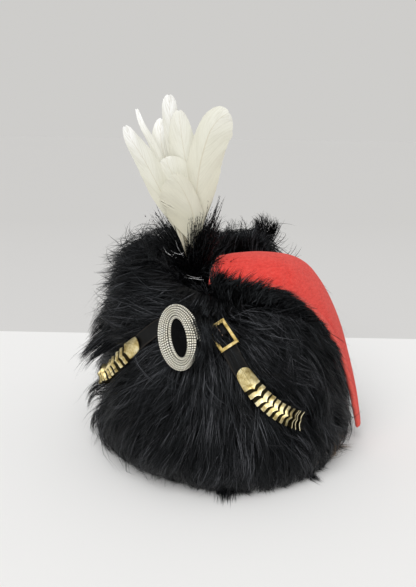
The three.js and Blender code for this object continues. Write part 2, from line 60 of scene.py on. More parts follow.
class Signal:
    # a node socket that takes part in ordinary sums

    def __init__(self, finish, socket):
        self.finish, self.socket = finish, socket

    def joined(self, operation, *values):
        return self.finish.add("ShaderNodeMath", {"operation": operation}, *values)

    def __add__(self, other):
        return self.joined("ADD", self, other)

    def __radd__(self, other):
        return self.joined("ADD", other, self)

    def __sub__(self, other):
        return self.joined("SUBTRACT", self, other)

    def __rsub__(self, other):
        return self.joined("SUBTRACT", other, self)

    def __mul__(self, other):
        return self.joined("MULTIPLY", self, other)

    def __rmul__(self, other):
        return self.joined("MULTIPLY", other, self)

    def __truediv__(self, other):
        return self.joined("DIVIDE", self, other)

    def __gt__(self, other):
        return self.joined("GREATER_THAN", self, other)

    def kept(self):
        return self.finish.add("ShaderNodeClamp", {}, self)

    def sine(self):
        return self.joined("SINE", self)

    def size(self):
        return self.joined("ABSOLUTE", self)


class Finish:
    # one material and the nodes that make it

    def __init__(self, name, **constants):
        self.material = bpy.data.materials.new(name)
        self.material.use_nodes = True
        self.tree = self.material.node_tree
        self.shader = self.tree.nodes["Principled BSDF"]
        for socket, value in constants.items():
            self.shader.inputs[socket.replace("_", " ")].default_value = value

    def add(self, kind, settings, *values, out=0, **named):
        node = self.tree.nodes.new(kind)
        for key, value in settings.items():
            if key == "stops":
                ramp = node.color_ramp
                while len(ramp.elements) < len(value):
                    ramp.elements.new(1)
                for element, (place, colour) in zip(ramp.elements, value):
                    element.position, element.color = place, (*colour, 1)
            else:
                setattr(node, key, value)
        for socket, value in [*enumerate(values), *named.items()]:
            self.feed(node.inputs[socket.replace("_", " ") if isinstance(socket, str) else socket], value)
        return Signal(self, node.outputs[out])

    def feed(self, socket, value):
        if isinstance(value, Signal):
            self.tree.links.new(value.socket, socket)
        elif value is not None:
            socket.default_value = value

    def set(self, name, value):
        self.feed(self.shader.inputs[name], value)

    def place(self):
        return self.add("ShaderNodeTexCoord", {}, out="Object")

    def parts(self, vector):
        node = self.add("ShaderNodeSeparateXYZ", {}, vector).socket.node
        return [Signal(self, socket) for socket in node.outputs]

    def map(self, name):
        return self.parts(self.add("ShaderNodeUVMap", {"uv_map": name}))[:2]

    def noise(self, vector, scale, detail=2.0, roughness=0.5):
        return self.add("ShaderNodeTexNoise", {}, Vector=vector, Scale=scale, Detail=detail, Roughness=roughness)

    def ramp(self, value, *stops):
        return self.add("ShaderNodeValToRGB", {"stops": stops}, value)

    def blend(self, factor, first, second, how="MIX"):
        # the mix node keeps its colours in its seventh and eighth sockets
        node = self.add("ShaderNodeMix", {"data_type": "RGBA", "blend_type": how}).socket.node
        for index, value in {0: factor, 6: first, 7: second}.items():
            self.feed(node.inputs[index], (*value, 1) if isinstance(value, tuple) else value)
        return Signal(self, node.outputs[2])

    def bump(self, height, distance, strength=1.0):
        self.set("Normal", self.add("ShaderNodeBump", {}, Height=height, Distance=distance, Strength=strength))


def finishedWith(obj, finish):
    obj.data.materials.clear()
    obj.data.materials.append(finish.material)


def newPiece(name, points, faces, finish, smooth=True):
    mesh = bpy.data.meshes.new(name)
    mesh.from_pydata([tuple(point) for point in points], [], [tuple(face) for face in faces])
    mesh.validate()
    if smooth:
        mesh.shade_smooth()
    return placed(name, mesh, finish)


def placed(name, mesh, finish):
    obj = bpy.data.objects.new(name, mesh)
    scene.collection.objects.link(obj)
    mesh.materials.append(finish.material)
    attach(obj, "root")
    return obj


def withMap(obj, name, values):
    # values hold one pair for each corner of the mesh's faces
    layer = obj.data.uv_layers.new(name=name)
    layer.data.foreach_set("uv", np.asarray(values, np.float32).ravel())


def cornersOf(obj):
    index = np.empty(len(obj.data.loops), np.int64)
    obj.data.loops.foreach_get("vertex_index", index)
    return index


def gridFaces(rows, columns, wrap=False):
    # faces of a grid of points laid row after row
    row, column = np.meshgrid(np.arange(rows - 1), np.arange(columns if wrap else columns - 1), indexing="ij")
    row, column = row.ravel(), column.ravel()
    nextColumn = (column + 1) % columns
    return np.stack([row * columns + column, row * columns + nextColumn,
                     (row + 1) * columns + nextColumn, (row + 1) * columns + column], axis=1)


def treeOf(*names):
    # one search tree over the named pieces of the frame
    points, faces = [], []
    for name in names:
        mesh = nodes[name].data
        start = len(points)
        points += [tuple(vertex.co) for vertex in mesh.vertices]
        faces += [[start + index for index in polygon.vertices] for polygon in mesh.polygons]
    return BVHTree.FromPolygons(points, faces)


def unit(vectors):
    return vectors / np.maximum(np.linalg.norm(vectors, axis=-1, keepdims=True), 1e-12)


def folded(angle):
    # the same angle between -180 and 180 degrees
    return (angle + 180) % 360 - 180


def sampled(at, stops, rows):
    # rows of coordinates, read at places between their stops
    return np.stack([np.interp(at, stops, rows[:, axis]) for axis in range(3)], axis=-1)


def travel(points):
    # the way along a line of points, from nothing at its first
    return np.concatenate([[0], np.cumsum(np.linalg.norm(np.diff(points, axis=0), axis=1))])


def eased(value, low, high):
    share = np.clip((value - low) / (high - low), 0, 1)
    return share * share * (3 - 2 * share)


camera = {
    "place": (0.1944, -0.6044, 0.3276),
    "pitch": 74.5,
    "turn": 20.0,
    "lens": 40.48,
}

lens = bpy.data.cameras.new("camera")
lens.lens, lens.sensor_width = camera["lens"], 36
eye = bpy.data.objects.new("camera", lens)
eye.location = camera["place"]
eye.rotation_euler = (math.radians(camera["pitch"]), 0, math.radians(camera["turn"]))
scene.collection.objects.link(eye)
scene.camera = eye

room = {
    "wallTone": (0.617, 0.610, 0.595),  # the pale wall as seen behind the cap
    "sideLight": 0.34,  # brightness of the room at eye level and overhead
    "ceilingLight": 0.62,
    "sunLight": 0.66,  # brightness that the lamp adds to a surface square to it
    "sunAngle": 55,
    "sunLean": (40, 4),
    "tableTone": (0.865, 0.86, 0.85),
    "farTone": (0.611, 0.603, 0.588),  # the floor beyond the table, far off and close to its edge
    "nearTone": (0.662, 0.654, 0.642),
    "edgeAt": 0.323,  # the table's far edge crosses the Y axis here
    "edgeSlope": 0.299,
    "farOff": 1.1,  # metres past the edge where the floor has its far tone
    "floorSize": 14.0,
}


def makeRoom():
    world = bpy.data.worlds.new("room")
    world.use_nodes = True
    links, background = world.node_tree.links, world.node_tree.nodes["Background"]
    kinds = {"rays": "ShaderNodeLightPath", "way": "ShaderNodeTexCoord", "parts": "ShaderNodeSeparateXYZ",
             "height": "ShaderNodeMapRange", "seen": "ShaderNodeMix", "ceiling": "ShaderNodeCombineColor"}
    made = {key: world.node_tree.nodes.new(kind) for key, kind in kinds.items()}
    made["seen"].data_type = "RGBA"
    links.new(made["way"].outputs["Generated"], made["parts"].inputs[0])
    links.new(made["parts"].outputs["Z"], made["height"].inputs["Value"])
    made["height"].inputs["To Min"].default_value = room["sideLight"]
    made["height"].inputs["To Max"].default_value = room["ceilingLight"]
    for channel in range(3):
        links.new(made["height"].outputs[0], made["ceiling"].inputs[channel])
    links.new(made["rays"].outputs["Is Camera Ray"], made["seen"].inputs[0])
    links.new(made["ceiling"].outputs[0], made["seen"].inputs[6])
    made["seen"].inputs[7].default_value = (*room["wallTone"], 1)
    links.new(made["seen"].outputs[2], background.inputs["Color"])
    scene.world = world
    scene.view_settings.view_transform = "Standard"

    sun = bpy.data.lights.new("overhead", "SUN")
    sun.energy = room["sunLight"] * math.pi
    sun.angle = math.radians(room["sunAngle"])
    lamp = bpy.data.objects.new("overhead", sun)
    lamp.rotation_euler = (*map(math.radians, room["sunLean"]), 0)
    scene.collection.objects.link(lamp)

    half = room["floorSize"] / 2
    mesh = bpy.data.meshes.new("tableTop")
    mesh.from_pydata([(-half, -half, 0), (half, -half, 0), (half, half, 0), (-half, half, 0)], [], [(0, 1, 2, 3)])
    table = bpy.data.objects.new("tableTop", mesh)
    scene.collection.objects.link(table)
    finish = Finish("paleTable", Roughness=0.75, Specular_IOR_Level=0.1)
    x, y = finish.parts(finish.place())[:2]
    past = y - x * room["edgeSlope"] - room["edgeAt"]
    floor = finish.blend((past / room["farOff"]).kept(), room["nearTone"], room["farTone"])
    tone = finish.blend(past > 0.0, room["tableTone"], floor)
    mottle = finish.noise(finish.place(), 9.0, 3.0)
    finish.set("Base Color", finish.blend(mottle * 0.04, tone, (0.7, 0.7, 0.7)))
    finishedWith(table, finish)
    print("room made")


makeRoom()


def hermite(t, start, leave, stop, arrive):
    return ((2 * t**3 - 3 * t**2 + 1) * start + (t**3 - 2 * t**2 + t) * leave
            + (3 * t**2 - 2 * t**3) * stop + (t**3 - t**2) * arrive)


def tableCurve(stops, values, at):
    # a smooth curve through the rows of a table
    stops, values = np.asarray(stops, float), np.asarray(values, float)
    last = len(stops) - 1
    index = np.clip(np.searchsorted(stops, at, side="right") - 1, 0, last - 1)
    before, after = np.maximum(index - 1, 0), np.minimum(index + 2, last)
    span = stops[index + 1] - stops[index]
    leave = (values[index + 1] - values[before]) / (stops[index + 1] - stops[before])
    arrive = (values[after] - values[index]) / (stops[after] - stops[index])
    t = np.clip((at - stops[index]) / span, 0, 1)
    return hermite(t, values[index], span * leave, values[index + 1], span * arrive)


# from the hem up to the crest and down the inside of the crest, in millimetres:
# run is the way along, sag the share of the crest's local drop that a row takes
furProfile = {
    "run": [0, 10, 35, 70, 105, 140, 165, 182, 195, 202, 214, 236, 250],
    "height": [0, 10, 35, 70, 105, 140, 165, 182, 195, 202, 196, 174, 160],
    "left": [106, 114, 129, 126, 122, 122, 121, 114, 103, 88, 76, 71, 71],
    "right": [116, 122, 127, 121, 112, 102, 92, 83, 74, 66, 60, 58, 60],
    "front": [121, 129, 136, 133, 124, 116, 109, 102, 92, 80, 72, 70, 71],
    "back": [124, 132, 138, 136, 131, 124, 118, 110, 99, 86, 76, 72, 75],
    "sag": [0, 0, 0, 0, 0, 0.15, 0.45, 0.75, 0.95, 1, 1, 0.1, 0],
}
innerProfile = {  # from the crown's edge down to the head opening
    "run": [250, 300, 370, 410],
    "height": [160, 110, 40, 0],
    "left": [71, 78, 82, 84],
    "right": [60, 74, 82, 84],
    "front": [71, 88, 100, 102],
    "back": [75, 92, 104, 106],
    "sag": [0, 0, 0, 0],
}
crestDrop = {
    "angle": [-180, -90, -60, -32, -12, 8, 30, 60, 90, 120, 140, 155, 168, 180],
    "drop": [0, 0, 2, 7, 17, 26, 27, 26, 24, 24, 24, 15, 2, 0],
}

swells = [  # where the long fur lies further in or out than the regular plan, in millimetres
    {"angle": -8, "wide": 30, "run": 0, "high": 18, "out": -12},
    {"angle": -62, "wide": 17, "run": 6, "high": 20, "out": 8},
    {"angle": 95, "wide": 25, "run": 0, "high": 20, "out": -4},
    {"angle": -75, "wide": 30, "run": 168, "high": 22, "out": -10},
]


def swellAt(angle, run):
    out = 0
    for row in swells:
        aside, along = folded(angle - row["angle"]) / row["wide"], (run - row["run"]) / row["high"]
        out = out + row["out"] * np.exp(-aside ** 2 - along ** 2)
    return out


def furForm(angle, run, profile=furProfile):
    # the fur's outer form: angle from the front in degrees, run in millimetres
    value = {key: tableCurve(profile["run"], profile[key], run) for key in profile if key != "run"}
    sine, cosine = np.sin(np.radians(angle)), np.cos(np.radians(angle))
    drop = tableCurve(crestDrop["angle"], crestDrop["drop"], folded(angle))
    past = np.maximum(-run, 0)  # hair that runs out over the table
    if profile is furProfile:
        past = past + swellAt(angle, run)
    x = sine * (np.where(sine < 0, value["left"], value["right"]) + past)
    y = -cosine * (np.where(cosine > 0, value["front"], value["back"]) + past)
    return np.stack([x, y, value["height"] - drop * value["sag"]], axis=-1) * millimetre + axisPlace


def formNormal(angle, run):
    last = furProfile["run"][-1]
    low, high = np.clip(run - 1, 0, last - 2), np.clip(run + 1, 2, last)
    sideways = furForm(angle + 0.5, run) - furForm(angle - 0.5, run)
    return unit(np.cross(sideways, furForm(angle, high) - furForm(angle, low)))


def formAt(angle, run):
    # one point of the fur's outer form and the way out there
    place = np.array([angle]), np.array([run])
    return Vector(furForm(*place)[0]), Vector(formNormal(*place)[0])


hardPieces = ["strap_tongue", "strap_buckle_end", "boss_cord", "boss_centre", "buckle_frame"]
hardPieces += [f"scale_{side}_{index}" for side in ("left", "right") for index in range(1, 12)]
furTree, hardTree, bagTree = treeOf("fur_cap"), treeOf(*hardPieces), treeOf("bag")

gridStep = (1.5, 2.0)  # degrees round, millimetres along
gridAngles = np.arange(-180, 180, gridStep[0])
gridRuns = np.arange(0, 251, gridStep[1])


def softened(field, spread):
    # a blur that runs round the cap and stops at the field's two ends
    width = int(3 * spread) + 1
    weights = np.exp(-0.5 * (np.arange(-width, width + 1) / spread) ** 2)
    weights /= weights.sum()
    roundPad = np.pad(field, ((width, width), (0, 0)), mode="wrap")
    field = sum(w * roundPad[i:i + len(field)] for i, w in enumerate(weights))
    endPad = np.pad(field, ((0, 0), (width, width)), mode="edge")
    return sum(w * endPad[:, i:i + field.shape[1]] for i, w in enumerate(weights))


# where the long hair closes over the strap again, from where it starts to where it is whole
closings = {
    "besideBoss": (7, 11), "besideBuckle": (21.5, 18), "overTongue": (140, 146),
    "leftAngle": (54, 58), "leftRun": (92, 84),
    "rightAngle": (72, 82), "rightRun": (84, 72),
}


def closedOver(angle, run):
    # 1 between the boss and the buckle and past the last scales on both sides, otherwise 0
    closed = {key: eased(value, *closings[key]) for key, value in (
        ("besideBoss", angle), ("besideBuckle", angle), ("overTongue", run),
        ("leftAngle", angle), ("leftRun", run), ("rightAngle", -angle), ("rightRun", run))}
    middle = closed["besideBoss"] * closed["besideBuckle"] * closed["overTongue"]
    left, right = closed["leftAngle"] * closed["leftRun"], closed["rightAngle"] * closed["rightRun"]
    return np.maximum(middle, np.maximum(left, right))


# in metres: how far over the form a ray starts down, and how deep it looks for each piece
probe = {"above": 0.03, "fur": 0.075, "bag": 0.06, "strap": 0.08}


def pressedDepth():
    # how far the frame's fur lies below the smooth form, in millimetres
    angle, run = np.meshgrid(gridAngles, gridRuns, indexing="ij")
    points, normals = furForm(angle, run), formNormal(angle, run)
    depth, underBag = np.zeros(angle.shape), np.zeros(angle.shape)
    for index in np.ndindex(angle.shape):
        out = Vector(normals[index])
        start = Vector(points[index]) + out * probe["above"]
        hit = furTree.ray_cast(start, -out, probe["fur"])
        if hit[0] is not None:
            depth[index] = max(0.0, (hit[3] - probe["above"]) / millimetre)
        underBag[index] = bagTree.ray_cast(start, -out, probe["bag"])[0] is not None
    strapDepth = softened(np.where(underBag > 0, 0, depth), 1.2) * (1 - closedOver(angle, run))
    return np.maximum(strapDepth, softened(depth * underBag, 0.6))


pressed = pressedDepth()


def fieldAt(field, angle, run):
    column = (angle + 180) % 360 / gridStep[0]
    row = np.clip(run / gridStep[1], 0, len(gridRuns) - 1.001)
    low, bottom = np.floor(column).astype(int), np.floor(row).astype(int)
    across, up = column - low, row - bottom
    low = low % len(gridAngles)
    high = (low + 1) % len(gridAngles)
    return ((field[low, bottom] * (1 - up) + field[low, bottom + 1] * up) * (1 - across)
            + (field[high, bottom] * (1 - up) + field[high, bottom + 1] * up) * across)


skin = {  # depth of the hide under the fur's outer form, in millimetres
    "run": [0, 10, 40, 150, 175, 195, 205, 214, 236, 250],
    "depth": [11, 13, 12, 12, 9, 6, 4, 3, 2.5, 1.5],
}
crestHair = {  # how far the hair stands past the crest, by angle, in millimetres
    "angle": [-180, -160, -140, -110, -75, -40, -15, 5, 25, 60, 90, 112, 132, 146, 155, 163, 172, 180],
    "over": [1, -2, 5, 9, 5, 8, 5, 2, 0, -1, -4, -12, -17, -18, -12, 6, 9, 1],
    "run": [0, 168, 190, 205, 225, 250],
    "share": [0, 0.15, 0.8, 1, 0.8, 0.2],  # how much of that holds, by run
}
# hair that stands off over the strap's left end, and the flare of the hair near the hem
overhang = {"angle": -70, "wide": 17, "run": 98, "high": 15, "out": 17}
hemFlare = {"run": [-14, 0, 12, 28, 48], "out": [-3, -4, 0, 1.5, 0]}
# how far the hair's tips may lie out over the table, by angle
hemSpill = {
    "angle": [-180, -90, -70, -56, -44, -34, -20, 0, 10, 20, 26, 34, 45, 58, 66, 74, 90, 120, 180],
    "hairs": [5, 5, 3, 0, -3, -4, -5, -5, -4, -1, -2, -4, -5, -5, -3, -4, -2, 3, 5],
    "locks": [15, 15, 11, 9, 8, 7, 7, 7, 8, 14, 12, 10, 7, 7, 9, 7, 8, 11, 15],
    "lean": [-4, -5, -5, -5, -5, -6, -6, -5, -4, -4, -3, -1, 0, 1, 2, 3, 3, 0, -4],
}


def crestOver(angle, run):
    crest = np.interp(folded(angle), crestHair["angle"], crestHair["over"])
    return np.interp(run, crestHair["run"], crestHair["share"]) * crest


def standOver(angle, run):
    hang = overhang["out"] * np.exp(-((angle - overhang["angle"]) / overhang["wide"]) ** 2)
    return 0.8 + crestOver(angle, run) + hang * np.exp(-((run - overhang["run"]) / overhang["high"]) ** 2)


def skinDepth(angle, run):
    # the hide also keeps down where the crest's hair is beaten down
    low = np.maximum(-crestOver(angle, run), 0)
    return np.interp(run, skin["run"], skin["depth"]) + fieldAt(pressed, angle, run) + low


undercoat = {
    "turn": 2.5, "step": 4,  # degrees round and millimetres along
    "hem": 0.005,  # its edge keeps this far off the table, in metres
    "innerRuns": [252, 275, 300, 340, 380, 410],
}


def makeUndercoat():
    # the close dark wool and the hide under the long hair, with the hollow for the head
    angles = np.arange(-180, 180, undercoat["turn"])
    angle, run = np.meshgrid(angles, [*np.arange(0, 250, undercoat["step"]), 250])
    outer = furForm(angle, run) - formNormal(angle, run) * (skinDepth(angle, run) * millimetre)[..., None]
    outer[0, :, 2] = undercoat["hem"]
    inner = furForm(*np.meshgrid(angles, np.array(undercoat["innerRuns"])), innerProfile)
    rows = np.concatenate([outer, inner])
    faces = gridFaces(len(rows), len(angles), wrap=True)
    last = (len(rows) - 1) * len(angles)
    around = np.arange(len(angles))
    hem = np.stack([last + around, last + (around + 1) % len(angles), (around + 1) % len(angles), around], axis=1)
    finish = Finish("undercoat", Roughness=0.95)
    place = finish.place()
    wool = finish.noise(place, 420.0, 4.0, 0.6)
    patch = finish.noise(place, 30.0, 2.0)
    finish.set("Base Color", finish.ramp(patch * 0.5 + wool * 0.5, (0.3, (0.0025, 0.0025, 0.003)),
                                         (0.7, (0.008, 0.0075, 0.007))))
    finish.bump(wool, 0.002, 0.9)
    hide = newPiece("undercoat", rows.reshape(-1, 3), [*faces, *hem], finish)
    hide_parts("fur_cap")
    print("undercoat made")


makeUndercoat()


hair = {
    "strands": 66000,
    "segments": 5,
    "fineSteps": 16,
    "length": 58,  # millimetres
    "width": 0.5,
    "shownFrom": 0.009,  # metres of a hair that have to be left for it to be drawn
    "hide": 165000.0,  # area that the hair grows on, in square millimetres
    # from locks down to single hairs: how far apart they stand, how unruly they are, how strongly
    # they gather towards the coarser ones, and the share that gets loose
    "levels": [
        {"spacing": 17.0, "swerve": 0.25, "over": 2.8, "curl": 0.45, "roll": 0.1, "pull": 0, "from": 1, "loose": 0},
        {"spacing": 5.6, "swerve": 0.15, "over": 1.7, "curl": 0.3, "roll": 0.2, "pull": 0.55, "from": 1.9,
         "loose": 0},
        {"spacing": 2.5, "swerve": 0.12, "over": 1.3, "curl": 0.25, "roll": 0.5, "pull": 0.62, "from": 1.2,
         "loose": 0.06},
        {"spacing": 0, "swerve": 0.09, "over": 0.8, "curl": 0.15, "roll": 0.3, "pull": 0.82, "from": 0.8,
         "loose": 0.03},
    ],
    "shorter": {"run": [0, 20, 45, 150, 185, 205, 250], "share": [0.9, 1.05, 1, 1, 0.85, 0.66, 0.6]},
    "looseAndPaintedLight": (110, 165),  # run over which more and more of the hairs are loose, and over which the hair's tone is raised a little as painted light
    "close": (10, 50),  # run below which loose hairs lie closer, near the hem
    "crest": 172,  # run from which the hair belongs to the crest
    "sides": (45, 130),  # angles between which the rest belongs to a side
    "fade": [(0, 0.8), (0.2, 1.0), (0.6, 0.8), (1, 0.1)],  # width from its root to its tip
    "reachBeyond": 16.5,  # how far a hair may leave the frame's box
}

# how far the hair turns sideways for each part that it runs down, by angle and by run
hairTurn = {
    "angle": [-180, -120, -90, -60, -30, 0, 20, 50, 80, 110, 150, 180],
    "run": [0, 60, 110, 150, 200],
    "turn": [
        [0.0, -0.1, -0.3, -0.6, -0.75, -0.5, -0.2, 0.15, 0.3, 0.15, 0.05, 0.0],
        [0.0, -0.15, -0.35, -0.6, -0.65, -0.35, 0.0, 0.3, 0.4, 0.2, 0.1, 0.0],
        [0.0, -0.2, -0.6, -1.1, -1.1, -0.45, 0.1, 0.4, 0.45, 0.3, 0.1, 0.0],
        [0.0, -0.3, -1.0, -2.0, -2.0, -0.7, 0.2, 0.5, 0.5, 0.3, 0.1, 0.0],
        [-0.1, -0.2, -0.6, -1.1, -1.2, -0.7, 0.1, 0.5, 0.5, 0.3, 0.1, -0.1],
    ],
}


def flowTurn(angle, run):
    rows = np.array([np.interp(folded(angle), hairTurn["angle"], row) for row in hairTurn["turn"]])
    place = np.interp(run, hairTurn["run"], np.arange(len(hairTurn["run"])))
    low = np.minimum(np.floor(place).astype(int), len(rows) - 2)
    share = place - low
    column = np.arange(len(angle))
    return np.arctan(rows[low, column] * (1 - share) + rows[low + 1, column] * share)


def girth(places):
    # how far places stand from the cap's upright axis, in metres
    return np.linalg.norm(places[..., :2] - axisPlace[:2], axis=-1)


def scattered(random, count):
    # roots spread evenly over the fur, as angles and runs; where the cap is wider more of them are kept
    angle, run = random.uniform(-180, 180, count * 3), random.uniform(0, 246, count * 3)
    widest = 0.14
    keep = random.uniform(0, 1, count * 3) < girth(furForm(angle, run)) / widest
    return angle[keep][:count], run[keep][:count]


def nearest(places, centres):
    tree = KDTree(len(centres))
    for index, centre in enumerate(centres):
        tree.insert(centre, index)
    tree.balance()
    return np.array([tree.find(place)[1] for place in places])


def pathsOf(angle, run, plan, steps):
    # each hair's line: it leaves the hide, rises to the outer form and runs on along the flow
    lines, runs = [], []
    here, along = angle.copy(), run.copy()
    rooted = np.interp(run, skin["run"], skin["depth"]) + 1.0
    over = plan["over"] + standOver(angle, run)
    for step in range(steps + 1):
        share = step / steps
        rise = 1 - (1 - share) ** plan["lift"]
        height = over * share**1.5 - rooted * (1 - rise) - fieldAt(pressed, here, along)
        height = height + np.interp(along, hemFlare["run"], hemFlare["out"])
        form = furForm(here, along)
        lines.append(form + formNormal(here, along) * (height * millimetre)[:, None])
        runs.append(along)
        heading = flowTurn(here, along) + plan["swerve"] + plan["curl"] * (share - 0.4)
        stride = plan["length"] / steps * (0.35 + 0.65 * rise)
        here = here + np.degrees(stride * np.sin(heading) / np.maximum(girth(form) / millimetre, 30))
        along = along - stride * np.cos(heading)
    return np.stack(lines, axis=1), np.stack(runs, axis=1)


def growHair():
    random = np.random.default_rng(1854)
    steps = hair["fineSteps"]
    share = np.linspace(0, 1, steps + 1)[None, :, None]
    upper = None
    for level in hair["levels"]:
        size = int(hair["hide"] / level["spacing"] ** 2) if level["spacing"] else hair["strands"]
        angle, run = scattered(random, size)
        places = furForm(angle, run) / millimetre
        plan = {key: random.normal(0, level[key], size) for key in ("swerve", "over", "curl", "roll")}
        plan["length"], plan["lift"] = random.uniform(0.84, 1.15, size), random.uniform(1.3, 2.4, size)
        plan["tone"], plan["spill"] = random.uniform(0, 1, size), random.uniform(0.2, 1.3, size)
        if upper is None:
            shorter = np.interp(run, hair["shorter"]["run"], hair["shorter"]["share"])
            # shorter where the crest is beaten down
            beaten = eased(angle, 92, 112) * eased(angle, 156, 150) * eased(run, 160, 176)
            plan["length"] *= hair["length"] * shorter * (1 - 0.45 * beaten)
        else:
            parent = nearest(places, upper["places"])
            for key in ("swerve", "over", "curl", "roll"):
                plan[key] += upper[key][parent] * 0.85
            plan["length"] *= upper["length"][parent]
            plan["lift"] = (plan["lift"] + upper["lift"][parent]) / 2
            plan["tone"] = upper["tone"][parent] * 0.55 + plan["tone"] * 0.45
            plan["spill"] = upper["spill"][parent] * 0.75 + plan["spill"] * 0.25
        loose = np.zeros(size, bool)
        if level["loose"]:
            loose = random.uniform(0, 1, size) < (1 + 1.6 * eased(run, *hair["looseAndPaintedLight"])) * level["loose"]
            plan["swerve"] += np.where(loose, random.normal(0, 0.5, size), 0)
            free = 0.2 + 0.8 * eased(run, *hair["close"])
            plan["over"] += np.where(loose, np.abs(random.normal(0, 6.0, size)) + 2.5, 0) * free
            plan["length"] *= np.where(loose, random.uniform(0.85, 1.3, size), 1)
        lines, runs = pathsOf(angle, run, plan, steps)
        if upper is not None:
            own = np.where(loose, 0.12, random.uniform(0.7, 1.1, size))[:, None, None]
            pull = np.clip(level["pull"] * own * share ** level["from"], 0, 0.95)
            lines += (upper["lines"][parent] - lines) * pull
            runs += (upper["runs"][parent] - runs) * pull[..., 0]
        upper = {**plan, "places": places, "lines": lines, "runs": runs}
    limit = np.interp(folded(angle), hemSpill["angle"], hemSpill["hairs"]) * plan["spill"]
    past = runs < -limit[:, None]
    keep = np.where(past.any(axis=1), past.argmax(axis=1) / steps, 1.0)
    tone = plan["tone"].argsort().argsort() / len(angle)  # evenly spread from 0 to 1
    print("hair laid")
    return angle, run, lines, keep, tone, plan["roll"], loose


trim = {
    # how far the rays look for the hard pieces and for the bag, and how far out the last ones start, in metres
    "hard": 0.03, "bagUnder": 0.02, "bagOver": 0.05, "above": 0.03,
    "onBag": 0.0015,  # how high over the cloth a hair lies on the bag
    "overlap": (0.001, 0.008),  # how far a hair may run on over the bag
    "overlapInFront": (28, 0.2),  # angle within which only this share of it is left
}


def trimmedHair(angle, run, lines, keep):
    # share of each hair that shows before it would pass over the strap, the boss or the bag
    random = np.random.default_rng(77)
    steps = lines.shape[1] - 1
    inward = -formNormal(angle, run)
    front, less = trim["overlapInFront"]
    overlap = random.uniform(*trim["overlap"], len(lines)) * np.where(np.abs(angle) < front, less, 1.0)
    covered = (closedOver(angle, run) > 0.3) | ((angle < -63) & (run > 80))

    def stopsAt(index, step, down, underBag, onBag):
        # whether a hair has to end before this step, and how far it has come over the bag by then
        point = Vector(lines[index, step])
        if not covered[index] and hardTree.ray_cast(point - down * 0.0005, down, trim["hard"])[0] is not None:
            return True, onBag
        if underBag:
            return bagTree.ray_cast(point, down, trim["bagUnder"])[0] is not None, onBag
        hit = bagTree.ray_cast(point - down * trim["above"], down, trim["bagOver"])
        if hit[0] is None:
            return False, onBag
        onBag += np.linalg.norm(lines[index, step] - lines[index, step - 1])
        if onBag <= overlap[index]:
            lines[index, step] -= np.array(down) * max(0.0, trim["onBag"] - (hit[0] - point).dot(down))
        return onBag > overlap[index], onBag

    for index in range(len(lines)):
        down = Vector(inward[index])
        underBag = bagTree.ray_cast(Vector(lines[index, 0]), -down, trim["bagOver"])[0] is not None
        onBag = 0.0
        for step in range(1, int(keep[index] * steps + 0.5) + 1):
            stopped, onBag = stopsAt(index, step, down, underBag, onBag)
            if stopped:
                keep[index] = (step - 1) / steps
                break
    return keep


def clearedLines(lines, keep, segments):
    # each kept hair drawn with few points, from its root to where it stops
    steps = lines.shape[1] - 1
    at = np.linspace(0, 1, segments + 1)[None, :] * (keep * steps)[:, None]
    low = np.minimum(np.floor(at).astype(int), steps - 1)
    share = (at - low)[..., None]
    row = np.arange(len(lines))[:, None]
    return lines[row, low] * (1 - share) + lines[row, low + 1] * share


def ribbonMesh(name, lines, widths, tone, roll, outward, rounded=0.3):
    # thin ribbons that taper to a point; widths in metres at each of a line's points
    count, rings = lines.shape[:2]
    along = unit(np.gradient(lines, axis=1))
    side = unit(np.cross(along, outward[:, None, :]))
    face = np.cross(side, along)
    across = side * np.cos(roll)[:, None, None] + face * np.sin(roll)[:, None, None]
    half = across * (widths * 0.5)[..., None]
    left, right = lines[:, :-1] - half[:, :-1], lines[:, :-1] + half[:, :-1]
    points = np.concatenate([left, right, lines[:, -1:]], axis=1)
    each = points.shape[1]
    start = (np.arange(count) * each)[:, None]
    rows = rings - 1
    ladder = np.arange(rows - 1)
    quads = np.stack([ladder, ladder + rows, ladder + rows + 1, ladder + 1], axis=1)
    quads = (start[:, :, None] + quads[None]).reshape(-1, 4)
    tips = start + np.array([[rows - 1, 2 * rows - 1, 2 * rows]])
    mesh = bpy.data.meshes.new(name)
    mesh.vertices.add(len(points) * each)
    mesh.vertices.foreach_set("co", points.astype(np.float32).ravel())
    corners = np.concatenate([quads.ravel(), tips.ravel()])
    mesh.loops.add(len(corners))
    mesh.loops.foreach_set("vertex_index", corners.astype(np.int32))
    sizes = np.concatenate([np.full(len(quads), 4), np.full(count, 3)])
    mesh.polygons.add(len(sizes))
    mesh.polygons.foreach_set("loop_start", np.concatenate([[0], np.cumsum(sizes)[:-1]]).astype(np.int32))
    mesh.update(calc_edges=True)
    mesh.shade_smooth()
    ring = np.concatenate([np.arange(rows), np.arange(rows), [rows]]) / rows
    lean = np.concatenate([np.full(rows, -1.0), np.full(rows, 1.0), [0.0]])
    vertexMap = np.stack([np.tile(ring, count), np.repeat(tone, each) + 0.002 * np.tile(lean, count)], axis=1)
    layer = mesh.uv_layers.new(name="OFBake")
    layer.data.foreach_set("uv", vertexMap[corners].astype(np.float32).ravel())
    flat = unit(np.cross(along, across))  # shaded as if each hair were round
    flat *= np.sign((flat * outward[:, None]).sum(axis=-1, keepdims=True) + 1e-9)
    lean = across * rounded
    normals = unit(np.concatenate([(flat - lean)[:, :-1], (flat + lean)[:, :-1], flat[:, -1:]], axis=1))
    mesh.normals_split_custom_set_from_vertices(normals.reshape(-1, 3).astype(np.float32))
    return mesh


